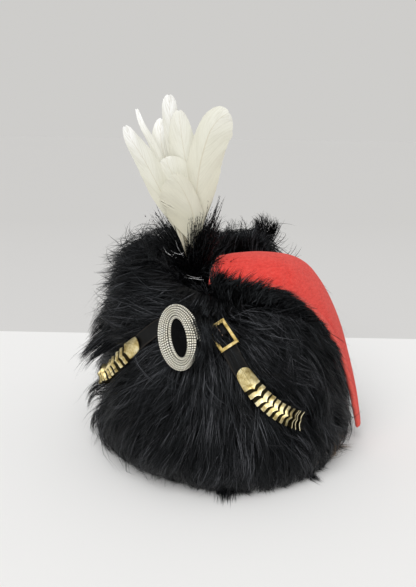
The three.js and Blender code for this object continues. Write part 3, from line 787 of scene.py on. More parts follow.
def hairFinish(name):
    # tones up to 0.78 are black hair whose lightest greys, towards 0.78, are painted highlights standing in for
    # glints on single strands; those near 0.9 are bleached hair, and above that silver thread
    finish = Finish(name, Specular_IOR_Level=0.21, Specular_Tint=(0.86, 0.93, 1.0, 1))
    along, tone = finish.map("OFBake")
    colour = finish.ramp(
        tone, (0.0, (0.0005, 0.0005, 0.0006)), (0.42, (0.0014, 0.0014, 0.0016)), (0.58, (0.0034, 0.0035, 0.0039)),
        (0.68, (0.014, 0.0142, 0.0156)), (0.78, (0.100, 0.102, 0.111)), (0.83, (0.10, 0.07, 0.045)),
        (0.90, (0.34, 0.23, 0.14)), (0.98, (0.62, 0.62, 0.62)))
    # painted shade and light along each hair: darker towards its root, deep in the coat, and lighter towards its tip
    rootShadeTipLight = finish.ramp(along, (0.0, (0.2, 0.2, 0.2)), (0.4, (0.9, 0.9, 0.9)), (1.0, (1.2, 1.2, 1.2)))
    finish.set("Base Color", finish.blend(1.0, colour, rootShadeTipLight, "MULTIPLY"))
    finish.set("Roughness", 0.40 - 0.1 * along + 0.1 * (tone * 21.0).sine())
    return finish


def taper(segments):
    # a hair's width from its root to its tip, as shares of the full width
    return np.interp(np.linspace(0, 1, segments + 1), *zip(*hair["fade"]))


def heldBack(lines, lowest):
    # hair kept inside the room it may take round the frame's box, and off the table
    beyond = hair["reachBeyond"] * millimetre
    lines[..., :2] = np.clip(lines[..., :2], np.array(cadBox[0])[:2] - beyond, np.array(cadBox[1])[:2] + beyond)
    lines[..., 2] = np.maximum(lines[..., 2], lowest[:, None])


def ribbonTriangles(count, segments):
    return count * (2 * segments - 1)


# single hairs bleached by the sun under the bag's tip, and the share of them there
sunBleached = {"angle": (70, 102), "run": (6, 44), "share": 0.4, "tone": (0.82, 0.9)}


def makeFur():
    angle, run, lines, keep, tone, roll, loose = growHair()
    keep = trimmedHair(angle, run, lines, keep)
    print("hair trimmed round the strap, boss and bag")
    lengths = keep * np.linalg.norm(np.diff(lines, axis=1), axis=2).sum(axis=1)
    shown = lengths > hair["shownFrom"]
    angle, run, tone, roll, loose = (values[shown] for values in (angle, run, tone, roll, loose))
    lines = clearedLines(lines[shown], keep[shown], hair["segments"])
    random = np.random.default_rng(5)
    heldBack(lines, random.uniform(0.0003, 0.004, len(lines)))
    width = hair["width"] * np.where(loose, 0.75, random.uniform(0.65, 1.25, len(lines))) * millimetre
    outward = formNormal(angle, run)
    around = folded(angle)
    # painted light: the hair's tone rises a little towards the crest
    tone = np.clip(0.02 + 0.76 * tone + 0.03 * eased(run, *hair["looseAndPaintedLight"]), 0, 0.78)
    (left, right), (low, high) = sunBleached["angle"], sunBleached["run"]
    sunned = (around > left) & (around < right) & (run > low) & (run < high)
    sunned &= random.uniform(0, 1, len(lines)) < sunBleached["share"]
    tone = np.where(sunned, random.uniform(*sunBleached["tone"], len(lines)), tone)
    below, (front, back) = run < hair["crest"], hair["sides"]
    regions = {
        "fur_front": (np.abs(around) <= front) & below,
        "fur_right_side": (around < -front) & (around >= -back) & below,
        "fur_left_side": (around > front) & (around <= back) & below,
        "fur_back": (np.abs(around) > back) & below,
        "fur_crest": ~below,
    }
    for name, chosen in regions.items():
        widths = taper(hair["segments"])[None] * width[chosen, None]
        mesh = ribbonMesh(name, lines[chosen], widths, tone[chosen], roll[chosen], outward[chosen])
        placed(name, mesh, bearskin)
        count = int(chosen.sum())
        print(name, "hairs", count, "triangles", ribbonTriangles(count, hair["segments"]))


bearskin = hairFinish("bearskin")
makeFur()


def routeLine(points, count):
    # a smooth line through a few points, evenly sampled
    points = np.asarray(points, float)
    ends = [2 * points[0] - points[1], *points, 2 * points[-1] - points[-2]]
    t = np.linspace(0, 1, 41)[:-1, None]
    dense = []
    for before, start, stop, after in zip(ends, ends[1:], ends[2:], ends[3:]):
        pairs = (before, start), (start, stop), (stop, after)
        first, middle, last = (max(np.linalg.norm(b - a) ** 0.5, 1e-6) for a, b in pairs)
        ahead = (stop - start) / middle
        leave = ((start - before) / first - (stop - before) / (first + middle) + ahead) * middle
        arrive = (ahead - (after - start) / (middle + last) + (after - stop) / last) * middle
        dense.append(hermite(t, start, leave, stop, arrive))
    dense = np.concatenate([*dense, points[-1:]])
    travelled = travel(dense)
    return sampled(np.linspace(0, travelled[-1], count), travelled, dense)


def tubeRings(line, radii, across, sides):
    # rings of points round a line
    along = unit(np.gradient(line, axis=0))
    first = unit(across - along * (across * along).sum(axis=1, keepdims=True))
    second = np.cross(along, first)
    turn = np.arange(sides) / sides * 2 * math.pi
    radius = np.asarray(radii)[:, None]
    return (line[:, None] + first[:, None] * (np.cos(turn) * radius)[..., None]
            + second[:, None] * (np.sin(turn) * radius)[..., None])


def tubeFaces(rings, sides, start=0, closed=False):
    around = np.arange(sides)
    faces = []
    for ring in range(rings if closed else rings - 1):
        low, high = start + ring * sides, start + (ring + 1) % rings * sides
        faces += [(low + i, low + (i + 1) % sides, high + (i + 1) % sides, high + i) for i in around]
    if not closed:
        faces.append(tuple(start + i for i in around[::-1]))
        faces.append(tuple(start + (rings - 1) * sides + i for i in around))
    return faces


# the bag's middle line over the crest and down the side (x, z), its reach to the front and to the
# back, and how far those two edges drop below the middle, in millimetres
bag = {
    "x": [4, 16, 34, 57, 76.5, 91, 102.3, 111.8, 119.2, 126, 131, 134],
    "z": [195, 198, 198, 196, 187, 169.5, 147.5, 121, 91, 60.4, 34, 14.5],
    "front": [-74, -75, -77, -77, -70, -51, -30, -10, 6, 16, 21, 26],
    "back": [-6, 14, 34, 42, 44, 44, 43, 42, 42, 43, 43, 38],
    "frontDrop": [16, 16, 16, 15, 13, 9, 6, 4, 2, 1.5, 1, 0.5],
    "backDrop": [27, 30, 30, 18, 16, 14, 12, 10, 8, 6, 4, 1],
    "thickness": 4.4,
    "steps": 120,
    "columns": 56,
    "turnedEdge": 7.5,  # width of the turned and sewn border
    "flat": (0.126, 0.252),
    "flatArea": 0.0212,
}


def bagSurface():
    # points and outward directions of the bag's middle sheet, row by row along it
    rows = np.arange(len(bag["x"]))
    along = np.linspace(0, len(rows) - 1, bag["steps"] + 1)
    stations = [(x, 0, z) for x, z in zip(bag["x"], bag["z"])]
    spine = routeLine(stations, 600)
    knots = [np.argmin(np.linalg.norm(spine - station, axis=1)) for station in stations]
    at = np.interp(along, rows, knots)
    middle = sampled(at, np.arange(len(spine)), spine)
    tangent = unit(np.gradient(middle, axis=0))
    outward = np.stack([-tangent[:, 2], np.zeros(len(along)), tangent[:, 0]], axis=1)
    value = {key: tableCurve(rows, bag[key], along) for key in ("front", "back", "frontDrop", "backDrop")}
    even = np.linspace(0, 1, bag["columns"] + 1)
    crowded = (1 - np.cos(np.linspace(0, math.pi, bag["columns"] + 1))) / 2  # closer together near the edges
    share = crowded * 0.45 + even * 0.55
    across = 2 * share[None, :] - 1
    drop = np.where(across < 0, value["frontDrop"][:, None], value["backDrop"][:, None]) * across**2
    points = np.repeat(middle[:, None], len(share), axis=1)
    points[..., 1] = value["front"][:, None] * (1 - share) + value["back"][:, None] * share
    points = points - outward[:, None] * drop[..., None]
    return points * millimetre + axisPlace, outward, across[0], along / (len(rows) - 1)


def makeBag():
    points, outward, across, _ = bagSurface()
    rise, run = np.gradient(points, axis=1), np.gradient(points, axis=0)
    normal = unit(np.cross(run, rise))
    normal *= np.sign((normal * outward[:, None]).sum(axis=-1, keepdims=True))
    reach = np.array([travel(row) for row in points]) / millimetre  # the way in from the front edge
    length = np.cumsum(np.linalg.norm(run[:, len(across) // 2], axis=1)) / millimetre
    fromStart, fromTip = length[:, None] - length[0], length[-1] - length[:, None]
    inset = np.minimum(np.minimum(reach, reach[:, -1:] - reach), np.minimum(fromStart, fromTip))
    half = bag["thickness"] / 2
    rounded = np.sqrt(np.clip(1 - (1 - np.clip(inset / (half * 1.15), 0, 1)) ** 2, 0, 1))
    border = eased(inset, bag["turnedEdge"] + 0.8, bag["turnedEdge"] - 0.4)
    seam = np.exp(-((inset - bag["turnedEdge"]) / 0.8) ** 2)
    waves = (np.sin(points[..., 0] * 95 + 3 * np.sin(points[..., 1] * 40)) * 0.35
             + np.sin(points[..., 1] * 150 + points[..., 2] * 70) * 0.22)
    pulls = 0.5 * np.exp(-((reach - 20) / 12) ** 2) * np.sin(points[..., 0] * 520 + points[..., 1] * 90)
    pulls *= np.exp(-((fromStart - 60) / 35) ** 2)
    top = half * rounded * 0.86 + border * 0.5 * rounded - seam * 0.55
    top += (waves + pulls) * rounded * eased(inset, 2, 14)
    under = -half * rounded * 0.9
    upper, lower = (points + normal * (lift * millimetre)[..., None] for lift in (top, under))
    rows, columns = points.shape[:2]
    upperFaces = gridFaces(rows, columns)
    # the two sides share the points of their rim
    index = np.arange(rows * columns).reshape(rows, columns)
    rim = np.zeros(index.shape, bool)
    rim[[0, -1]] = rim[:, [0, -1]] = True
    merged = np.where(rim, index, index + index.size).ravel()
    allPoints = np.concatenate([upper.reshape(-1, 3), lower.reshape(-1, 3)])
    allPoints[index[rim]] = points[rim]
    faces = [*upperFaces, *merged[upperFaces][:, ::-1]]

    finish = Finish("scarletFelt", Roughness=0.95, Sheen_Weight=0.35, Sheen_Roughness=0.6,
                    Sheen_Tint=(1.0, 0.45, 0.4, 1), Specular_IOR_Level=0.15)
    place = finish.place()
    cloud = finish.noise(place, 26.0, 3.0)
    fibre = finish.noise(place, 900.0, 3.0, 0.65)
    flock = finish.noise(finish.add("ShaderNodeMapping", {}, Vector=place, Scale=(1.0, 0.6, 1.6)), 330.0, 4.0, 0.7)
    edge, way = finish.map("cloth")
    base = finish.ramp(cloud * 0.3 + flock * 0.7, (0.3, (0.50, 0.018, 0.014)), (0.46, (0.70, 0.034, 0.025)),
                       (0.6, (0.80, 0.055, 0.042)), (0.75, (0.88, 0.12, 0.09)))
    # paler towards the bag's edges
    paleEdged = finish.blend((1.0 - edge / 9.0).kept() * (0.25 + 0.5 * flock), base, (0.92, 0.16, 0.12))
    stitchRow = (1.0 - (edge - bag["turnedEdge"]).size() * 1.6).kept()
    stitch = stitchRow * ((way * 2.1).sine() > 0.0)
    sewn = finish.blend(stitchRow * 0.35, paleEdged, (0.42, 0.012, 0.01))
    finish.set("Base Color", finish.blend(stitch * 0.55, sewn, (0.62, 0.03, 0.025)))
    finish.set("Roughness", 0.86 + 0.12 * fibre)
    finish.bump(flock * 0.7 + fibre * 0.3 - stitch * 0.4, 0.002, 0.8)
    cloth = newPiece("bag_cloth", allPoints, faces, finish)
    marks = np.stack([np.clip(inset, 0, 60).ravel(), np.broadcast_to(length[:, None], inset.shape).ravel()], axis=1)
    withMap(cloth, "cloth", np.concatenate([marks, marks])[cornersOf(cloth)])
    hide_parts("bag")
    print("bag sewn")


makeBag()


fringe = {  # hair that stands up before the bag's front edge and falls over it
    "tufts": 130,
    "hairs": 20,
    "at": [0.0, 0.04, 0.07, 0.11, 0.18, 0.3, 0.46, 0.66],  # share of the way down the bag
    "stand": [9, 13, 13, 6, 3, 2, 1.5, 1],  # height of the tips over the cloth, in millimetres
    "reach": [3, 6, 7, 6, 6, 5, 5, 5],  # how far they come in over it
    "along": [2, 5, 7, 9, 11, 12, 12, 12],  # how far they run along the edge
    "start": 0.042,
    "wisps": 0.4,  # the share of thin tufts that reach further over the cloth
}


def makeFringe():
    points, outward, _, along = bagSurface()
    random = np.random.default_rng(62)
    edge, inward = points[:, 0], unit(points[:, 8] - points[:, 0])
    way = unit(np.gradient(edge, axis=0))
    up = np.cross(inward, way)
    up *= np.sign((up * outward).sum(axis=1, keepdims=True))
    lines, tones, outs, rolls = [], [], [], []
    for _ in range(fringe["tufts"]):
        share = fringe["start"] + (fringe["at"][-1] - fringe["start"]) * random.uniform(0, 1) ** 1.3
        row = int(np.searchsorted(along, share))
        stand, reach, run = (np.interp(share, fringe["at"], fringe[key]) * random.uniform(0.5, 1.25)
                             for key in ("stand", "reach", "along"))
        run += random.normal(0, 4)
        wispy = random.uniform(0, 1) < fringe["wisps"] and share < 0.3
        if wispy:
            stand, reach = stand + 5, reach + random.uniform(4, 10)
        back = random.uniform(1.5, 9)
        root = edge[row] - (inward[row] * back + up[row] * 7) * millimetre
        bend = edge[row] + (up[row] * stand * 0.55 - inward[row] * back * 0.55 + way[row] * run * 0.25) * millimetre
        tip = edge[row] + (up[row] * stand + inward[row] * reach + way[row] * run) * millimetre
        tone = random.uniform(0, 1)
        for _ in range(8 if wispy else fringe["hairs"]):
            spread = random.normal(0, 1, (3, 3)) * np.array([[2.4], [1.5], [1.1]]) * millimetre
            reached = random.uniform(0.65, 1.1)
            end = bend + (tip - bend) * reached
            lines.append(routeLine([root + spread[0], bend + spread[1], end + spread[2]], 6))
            tones.append(0.02 + 0.72 * (0.5 * tone + 0.5 * random.uniform(0, 1)))
            outs.append(up[row])
            rolls.append(random.normal(0, 0.6))
    lines = np.array(lines)
    segments = lines.shape[1] - 1
    widths = np.tile(taper(segments) * hair["width"] * millimetre, (len(lines), 1))
    mesh = ribbonMesh("fur_over_bag", lines, widths, np.array(tones), np.array(rolls), np.array(outs))
    placed("fur_over_bag", mesh, bearskin)
    print("fringe laid over the bag, triangles", ribbonTriangles(len(lines), segments))


makeFringe()


# single locks: angle and run of the root and of the tip, the tip's height over the outer form in
# millimetres, the number of hairs, how far their roots and their tips spread, and True if bleached
locks = [
    (-52, 132, -59, 86, 23, 120, 6, 3), (-58, 126, -64, 90, 21, 110, 6, 3), (-66, 134, -71, 97, 18, 100, 7, 4),
    (-47, 122, -54, 84, 19, 90, 5, 3), (-62, 118, -66, 80, 26, 60, 5, 3), (-56, 130, -58, 76, 29, 16, 6, 8),
    (-60, 145, -68, 108, 17, 70, 7, 4), (-70, 172, -84, 152, 24, 12, 9, 10), (-66, 188, -80, 176, 22, 12, 9, 9),
    (-76, 150, -90, 126, 22, 14, 9, 9), (-78, 196, -92, 196, 20, 16, 8, 8), (-88, 198, -99, 202, 19, 16, 8, 8),
    (174, 194, 171, 205, 22, 70, 4, 3), (168, 193, 166, 204, 23, 70, 4, 3), (178, 194, 178, 205, 15, 40, 4, 3),
    (166, 194, 165, 204, 21, 40, 4, 3), (166, 196, 158, 206, 29, 9, 6, 9), (163, 192, 156, 200, 20, 8, 5, 7),
    (-172, 195, -170, 205, 14, 14, 5, 6), (-166, 195, -163, 205, 12, 12, 5, 6), (150, 186, 146, 196, 18, 10, 7, 7),
    (-60, 70, -62, 44, 12, 70, 6, 2), (-62, 60, -60, 36, 10, 60, 6, 2), (-58, 42, -55, 18, 10, 80, 6, 3),
    (-54, 32, -51, 2, 5, 80, 6, 3.5), (-50, 28, -48, -9, 0, 80, 6, 3.5), (-40, 26, -39, -8, 0, 80, 6, 3.5),
    (-30, 26, -27, -7, 0, 80, 6, 3), (-20, 24, -16, -5, 0, 70, 6, 3), (-9, 26, -4, -6, 0, 80, 6, 3),
    (2, 28, 6, -7, 0, 80, 6, 3), (10, 30, 13, -9, 0, 80, 6, 3), (15, 32, 18, -15, 0, 60, 6, 3.5),
    (19, 32, 19, -20, 0, 70, 6, 3), (24, 30, 21, -15, 0, 70, 5, 3.5), (29, 30, 26, -9, 0, 60, 5, 3.5),
    (25, 30, 28, -8, 0, 80, 6, 3), (35, 30, 38, -5, 0, 80, 6, 3), (45, 30, 49, -4, 0, 80, 6, 3),
    (56, 32, 61, -17, 0, 120, 6, 2.2), (64, 30, 70, -9, 0, 90, 6, 2.5), (72, 28, 76, -3, 0, 70, 6, 3),
    (90, 30, 91, -13, 3, 40, 6, 5), (88, 28, 93, -14, 2, 70, 6, 5, True), (84, 24, 86, -9, 2, 30, 5, 5, True),
    (7, 182, 12.5, 148, 6, 90, 4, 3), (9.5, 178, 15, 140, 6, 90, 4, 3), (12, 182, 14.5, 150, 7, 70, 4, 3),
    (6, 170, 12.5, 134, 6, 80, 4, 3), (9, 151, 5.5, 116, 6, 70, 2.5, 3), (68, 94, 60, 52, 7, 70, 5, 4),
    (64, 86, 57, 50, 8, 60, 5, 4),
]


# pointed locks all round the hem: how many, hairs in each, and how far their tips reach out over the table
hemLocks = {"count": 300, "hairs": 15, "reach": (0.0, 0.85), "from": (9, 28), "below": 36}


# long single hairs that stand off round the crest and the cap's right side
strays = {"wisps": 90, "hairs": 6, "angle": (-165, -30), "run": (95, 208), "stand": (9, 21)}


def makeLocks():
    random = np.random.default_rng(818)
    angle, run, rise, tone, keep = [], [], [], [], []
    rows = list(locks)
    for _ in range(strays["wisps"]):
        side, low = random.uniform(*strays["angle"]), random.uniform(*strays["run"])
        rows.append((side, low, side - random.uniform(4, 12), low + random.uniform(-34, 6),
                     random.uniform(*strays["stand"]), strays["hairs"], 7, 8))
    for index in range(hemLocks["count"]):
        side = folded((index + random.uniform(0, 0.8)) * 360 / hemLocks["count"] - 180)
        reach = np.interp(side, hemSpill["angle"], hemSpill["locks"]) * random.uniform(*hemLocks["reach"])
        lean = np.interp(side, hemSpill["angle"], hemSpill["lean"]) + random.normal(0, 2)
        start = random.uniform(*hemLocks["from"])
        rows.append((side, start, side + lean, -reach, 0.5, hemLocks["hairs"], 4.5, 2.2))
    share = np.linspace(0, 1, 5)[None]
    for fromAngle, fromRun, toAngle, toRun, stand, number, rooted, tipped, *bleached in rows:
        radius = girth(furForm(np.array([fromAngle]), np.array([fromRun])))[0] / millimetre
        loose = rooted * (1 - share) + tipped * share
        sway = [random.normal(0, 1, (number, 1)) * (1 - share) + random.normal(0, 1, (number, 1)) * share
                for _ in range(3)]
        bow = random.normal(0, 2.5) * np.sin(math.pi * share)
        angle.append(fromAngle + (toAngle - fromAngle) * share + np.degrees((sway[0] * loose + bow) / radius))
        run.append(fromRun + (toRun - fromRun) * share + sway[1] * loose * 0.8)
        low = fromRun < hemLocks["below"]  # near the hem a lock lies close
        heights = [-8, -1.5, 0.5 + 0.5 * stand, 0.8 * stand] if low else [-9, 0.5, 3 + 0.35 * stand, 2 + 0.7 * stand]
        height = np.interp(share, [0, 0.25, 0.5, 0.75, 1], [*heights, stand])
        rise.append(height + sway[2] * loose * 0.4 * (0.3 + share))
        level = random.uniform(0, 1)
        tone.append(random.uniform(0.83, 0.91, number) if bleached
                    else 0.02 + 0.76 * (0.4 * level + 0.6 * random.uniform(0, 1, number)))
        keep.append(random.uniform(0.8 if low else 0.72, 1.0, number))
    angle, run, rise, tone, keep = (np.concatenate(part) for part in (angle, run, rise, tone, keep))
    places = furForm(angle, run) + formNormal(angle, run) * (rise * millimetre)[..., None]
    lines = np.array([routeLine(line, 13) for line in places])
    lines = clearedLines(lines, keep, 6)
    heldBack(lines, random.uniform(0.0003, 0.003, len(lines)))
    segments = lines.shape[1] - 1
    widths = taper(segments)[None] * random.uniform(0.75, 1.3, (len(lines), 1)) * hair["width"] * millimetre
    widths = widths * np.where(run[:, 0] < hemLocks["below"], 1.2, 1.0)[:, None]
    outward = formNormal(angle[:, 2], run[:, 2])
    mesh = ribbonMesh("fur_locks", lines, widths, tone, random.normal(0, 0.5, len(lines)), outward)
    placed("fur_locks", mesh, bearskin)
    print("locks laid, triangles", ribbonTriangles(len(lines), segments))


makeLocks()


crown = {"level": 161.2, "rise": 4.2, "underside": 158.0, "rings": 26, "segments": 96}


def makeCrown():
    # the cloth disc stretched over the crown, a little slack between its edge and the middle
    angles = np.arange(crown["segments"]) * 360 / crown["segments"] - 180
    share = np.linspace(0.02, 1, crown["rings"])
    rim = furForm(angles, np.full(len(angles), 249.0))
    rows = []
    for side, level in ((1, crown["level"]), (-1, crown["underside"])):
        for part in (share if side > 0 else share[::-1]):
            ring = axisPlace + (rim - axisPlace) * part * 0.985
            slack = 0.5 * np.sin(np.radians(angles) * 7 + part * 9) * part**2
            slack += 0.35 * np.sin(np.radians(angles) * 11 - part * 5)
            ring[:, 2] = (level + crown["rise"] * (1 - part**2) + (slack if side > 0 else 0)) * millimetre
            rows.append(ring)
    count = len(angles)
    faces = [tuple(face) for face in gridFaces(len(rows), count, wrap=True)]
    faces += [tuple(range(count))[::-1], tuple((len(rows) - 1) * count + i for i in range(count))]
    finish = Finish("blackCloth", Roughness=0.9)
    x, y = finish.parts(finish.place())[:2]
    weave = (x * 5200.0 + y * 5200.0).sine() * (x * 5200.0 - y * 5200.0).sine()
    dust = finish.noise(finish.place(), 70.0, 4.0, 0.6)
    finish.set("Base Color", finish.ramp(dust * 0.8 + weave * 0.08, (0.3, (0.004, 0.004, 0.005)),
                                         (0.8, (0.016, 0.016, 0.018))))
    finish.set("Roughness", 0.8 + 0.15 * dust)
    finish.bump(weave, 0.0003, 0.6)
    disc = newPiece("crown_disc", np.concatenate(rows), faces, finish)
    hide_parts("crown_top")
    print("crown covered")


makeCrown()


plume = {
    "root": (-13, -56, 178),
    "facing": 20,  # degrees from the front that the fan of feathers faces
    "barbs": 84,  # on each side of a shaft
    "barbSteps": 6,
}
# feathers: the shaft from the tip down (right, up), how far the tip and the foot stand back, the
# blade's width, the shares of the length between which it widens, where it starts to narrow to the
# tip, its turn, the fuller side and how far its tip curls forward
feathers = [
    {"shaft": [(-21, 161), (-20.3, 148), (-18.2, 128), (-13, 100), (-3, 47)], "away": (9, 4), "width": 13.5,
     "grows": (0.15, 0.8), "shoulder": 0.92, "turn": 4, "lean": 0.0, "curl": 10},
    {"shaft": [(-12.2, 150), (-11.2, 140), (-9.3, 125), (-5.5, 100), (0, 60)], "away": (4, 1.5), "width": 25,
     "grows": (0.15, 0.6), "shoulder": 0.68, "turn": -4, "lean": -0.05, "curl": 0, "pale": 0.86},
    {"shaft": [(-28.5, 142), (-29.5, 132), (-28, 118), (-21, 95), (-8, 55)], "away": (17, 7), "width": 17,
     "grows": (0.2, 0.66), "shoulder": 0.8, "turn": 6, "lean": 0.0, "curl": 2},
    {"shaft": [(-49, 151), (-44.4, 138), (-36.7, 124), (-28, 104), (-12.6, 60)], "away": (6, 1.5), "width": 8.5,
     "grows": (0.2, 0.6), "shoulder": 0.35, "turn": 12, "lean": 0.0, "curl": 0},
    {"shaft": [(-58.5, 137), (-54, 127), (-43.5, 110), (-32, 88), (-16, 54)], "away": (-2, -2), "width": 22,
     "grows": (0.2, 0.6), "shoulder": 0.45, "turn": 10, "lean": 0.1, "curl": 3},
    {"shaft": [(31.5, 148), (23.5, 143), (16, 134), (10.8, 121), (6.5, 105), (3.9, 88), (1.5, 56)],
     "away": (-1, -1.5), "width": 30, "grows": (0.15, 0.62), "shoulder": 0.9, "turn": -8, "lean": 0.22, "curl": 2,
     "pale": 0.8},
    {"shaft": [(23.5, 119), (14, 98), (6.5, 70), (2.5, 30)], "away": (8, 1.2), "width": 19,
     "grows": (0.2, 0.66), "shoulder": 0.66, "turn": -10, "lean": 0.1, "curl": 0},
    {"shaft": [(-24.5, 110), (-17.5, 94), (-8, 69), (-1, 33)], "away": (1, -1.5), "width": 34,
     "grows": (0.22, 0.6), "shoulder": 0.76, "turn": 0, "lean": 0.1, "curl": -1, "pale": 0.8},
    {"shaft": [(-18, 95.5), (-11.8, 88), (-6, 77.6), (-0.8, 64), (1.8, 42)], "away": (-8, -4.5), "width": 31,
     "grows": (0.27, 0.62), "shoulder": 0.84, "turn": 4, "lean": -0.42, "curl": -2, "pale": 0.56},
    {"shaft": [(-41, 102), (-32, 83), (-19, 60), (-7, 32)], "away": (2, 4.2), "width": 14,
     "grows": (0.2, 0.66), "shoulder": 0.6, "turn": 16, "lean": 0.0, "curl": 0},
]


def onPlume(right, away, up):
    facing = math.radians(plume["facing"])
    rightward = np.array([math.cos(facing), math.sin(facing), 0])
    awayward = np.array([-math.sin(facing), math.cos(facing), 0])
    spot = np.array(plume["root"], float) + rightward * right + awayward * away + np.array([0, 0, up])
    return spot * millimetre + axisPlace


def featherFinish():
    # the feathers glow a little (Emission Strength 0.1), a painted glow standing in for the light that comes through
    # their thin vanes
    finish = Finish("whiteFeather", Roughness=0.6, Emission_Strength=0.1, Specular_IOR_Level=0.3, Sheen_Weight=0.1)
    along, side = finish.map("barb")
    place = finish.place()
    barb = along * 60.0 - side.size() * 5.0
    streak = finish.noise(finish.add("ShaderNodeCombineXYZ", {}, barb, side * 1.2, 0.0), 1.0, 4.0, 0.65)
    cloud = finish.noise(place, 45.0, 2.0)
    # cream and darker towards the feather's foot: partly the feather's own cream colour, partly painted shade where
    # the feathers overlap
    creamAndShadedFoot = finish.ramp(along, (0.0, (0.47, 0.43, 0.29)), (0.35, (0.56, 0.535, 0.42)), (0.62, (0.65, 0.64, 0.54)),
                       (0.84, (0.735, 0.73, 0.665)), (0.93, (0.93, 0.93, 0.91)))
    shaft = (1.0 - side.size() * 16.0).kept()
    tone = finish.blend(((streak - 0.44) * 2.2).kept(), creamAndShadedFoot, (0.50, 0.48, 0.38))
    tone = finish.blend(shaft * 0.75, tone, (0.44, 0.37, 0.24))
    tone = finish.blend(cloud * 0.2, tone, (0.9, 0.895, 0.85))
    finish.set("Base Color", tone)
    finish.set("Emission Color", tone)  # painted glow that stands in for the little light that comes through a thin vane
    finish.set("Roughness", 0.5 + 0.25 * streak)
    finish.bump(streak, 0.0005, 0.4)
    return finish


def featherMesh(row, random):
    away = np.linspace(row["away"][0] + row["away"][1], row["away"][1], len(row["shaft"]))
    knots = [(0, row["away"][1], 0), *[(right, back, up) for (right, up), back in zip(row["shaft"], away)][::-1]]
    shaft = routeLine([onPlume(*knot) for knot in knots], 61)
    facing, turn = math.radians(plume["facing"]), math.radians(row["turn"])
    face = np.array([math.sin(facing + turn), -math.cos(facing + turn), 0.0])
    share = np.linspace(0, 1, 61)
    tangent = unit(np.gradient(shaft, axis=0))
    across = unit(np.cross(tangent, face))
    normal = np.cross(across, tangent)
    shaft = shaft + normal * (row["curl"] * np.clip(share - 0.72, 0, 1) ** 2 / 0.08 * millimetre)[:, None]
    length = travel(shaft)[-1]

    def blade(at):
        # half of the blade's width along the shaft
        past = np.clip((at - row["shoulder"]) / (1 - row["shoulder"]), 0, 1)
        return (0.8 + (row["width"] / 2 - 0.8) * eased(at, *row["grows"]) * np.sqrt(1 - past**2.1)) * millimetre

    def spotAt(at, values):
        return sampled(at, share, values)

    quill = np.linspace(0, 0.975, 30)
    radii = np.interp(quill, [0, 0.5, 1], [1.25, 0.75, 0.2]) * millimetre
    rings = tubeRings(spotAt(quill, shaft), radii, spotAt(quill, across), 6)
    points = [*rings.reshape(-1, 3)]
    faces = tubeFaces(len(quill), 6)
    marks = [(at, 0.0) for at in np.repeat(quill, 6)]

    steps, count = plume["barbSteps"], plume["barbs"]
    at = 0.08 + 0.915 * (1 - (1 - np.linspace(0, 1, count)) ** 1.2)
    u = np.linspace(0, 1, steps + 1)[None]
    for side in (-1, 1):
        fuller = 1 + side * row["lean"]
        parting = np.cumsum(random.uniform(0.07, 0.2, 24)) + 0.1  # where the barbs part from each other
        parting = parting[parting < 0.98]
        swing, lift = (np.interp(at, parting, random.normal(0, much, len(parting))) for much in (0.012, 0.12))
        forward = blade(at + 0.05) * fuller * (1.7 + 0.3 * at) * (1 + swing) + 1.5 * millimetre
        stop = np.maximum.accumulate(at + (1 - at) * (1 - np.exp(-forward / length / (1 - at))))
        wide = (blade(stop) * fuller * (1 + random.normal(0, 0.012, len(at))))[:, None]
        lean = at[:, None] + (stop - at)[:, None] * (0.5 * u + 0.5 * u**1.8)
        out = side * wide * u**0.85
        ripple = 0.35 * np.sin(at * 31 + side * 2 + row["width"])[:, None] + lift[:, None]
        cup = 0.8 * millimetre - 0.17 * wide * u**1.6 + ripple * u**2 * millimetre
        vane = spotAt(lean, shaft) + spotAt(lean, across) * out[..., None] + spotAt(lean, normal) * cup[..., None]
        start = len(points)
        points.extend(vane.reshape(-1, 3))
        marks.extend((spot * row.get("pale", 1.0), side * (0.02 + 0.98 * j / steps))
                     for spot in at for j in range(steps + 1))
        for i in range(len(at) - 1):
            low, high = start + i * (steps + 1), start + (i + 1) * (steps + 1)
            faces += [(low + j, low + j + 1, high + j + 1, high + j) for j in range(steps)]
    return points, faces, marks


def makeFeathers():
    finish = featherFinish()
    random = np.random.default_rng(31)
    for number, row in enumerate(feathers, 1):
        points, faces, marks = featherMesh(row, random)
        obj = newPiece(f"feather_{number}", points, faces, finish)
        withMap(obj, "barb", np.array(marks)[cornersOf(obj)])
        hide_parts(f"plume_feather_{number}")
    print("feathers set")


makeFeathers()


tuft = {
    # hackles stand in bunches: how many, the middle of their tips from the root (right, away, up)
    # and how far the tips spread
    "bunches": [
        (80, (5, -15, 48), (6, 3, 8)), (60, (14, -10, 54), (5, 4, 8)), (30, (21, -3, 60), (4, 4, 8)),
        (9, (25, 1, 77), (2, 2, 4)), (50, (9, -14, 32), (8, 3, 8)), (30, (-31, 0, 60), (5, 5, 8)),
        (32, (-35, -4, 45), (5, 5, 7)), (26, (-24, -8, 38), (5, 4, 6)), (44, (-5, -17, 27), (8, 3, 5)),
        (26, (0, 17, 48), (10, 4, 9)), (26, (20, 14, 46), (7, 5, 9)), (22, (-24, 14, 50), (7, 5, 9)),
        (44, (20, -8, 20), (6, 4, 6)), (56, (14, -6, 44), (6, 4, 5)),
    ],
    "sideBarbs": 14,
    "down": 3700,  # short soft strands round the stem
    # loose silver threads: points from the root (right, away, up)
    "threads": [
        [(-27, -6, 32), (-24, -8, 27), (-19, -9, 25), (-14, -8, 27)],
        [(-26, -5, 30), (-22, -9, 25), (-17, -10, 23), (-13, -9, 23)],
        [(-16, -6, 38), (-13, -8, 30), (-9, -9, 25), (-7, -9, 20)],
        [(-14, -7, 34), (-12, -9, 29), (-8, -10, 23), (-6, -10, 18)],
        [(-20, -8, 29), (-15, -10, 26), (-11, -10, 26), (-8, -10, 29)],
        [(-8, -14, 6), (-2, -16, 5), (4, -16, 4.4), (10, -14, 4)],
        [(-6, -14, 8), (0, -16, 6.4), (5, -16, 5.6), (8, -14, 6)],
    ],
}


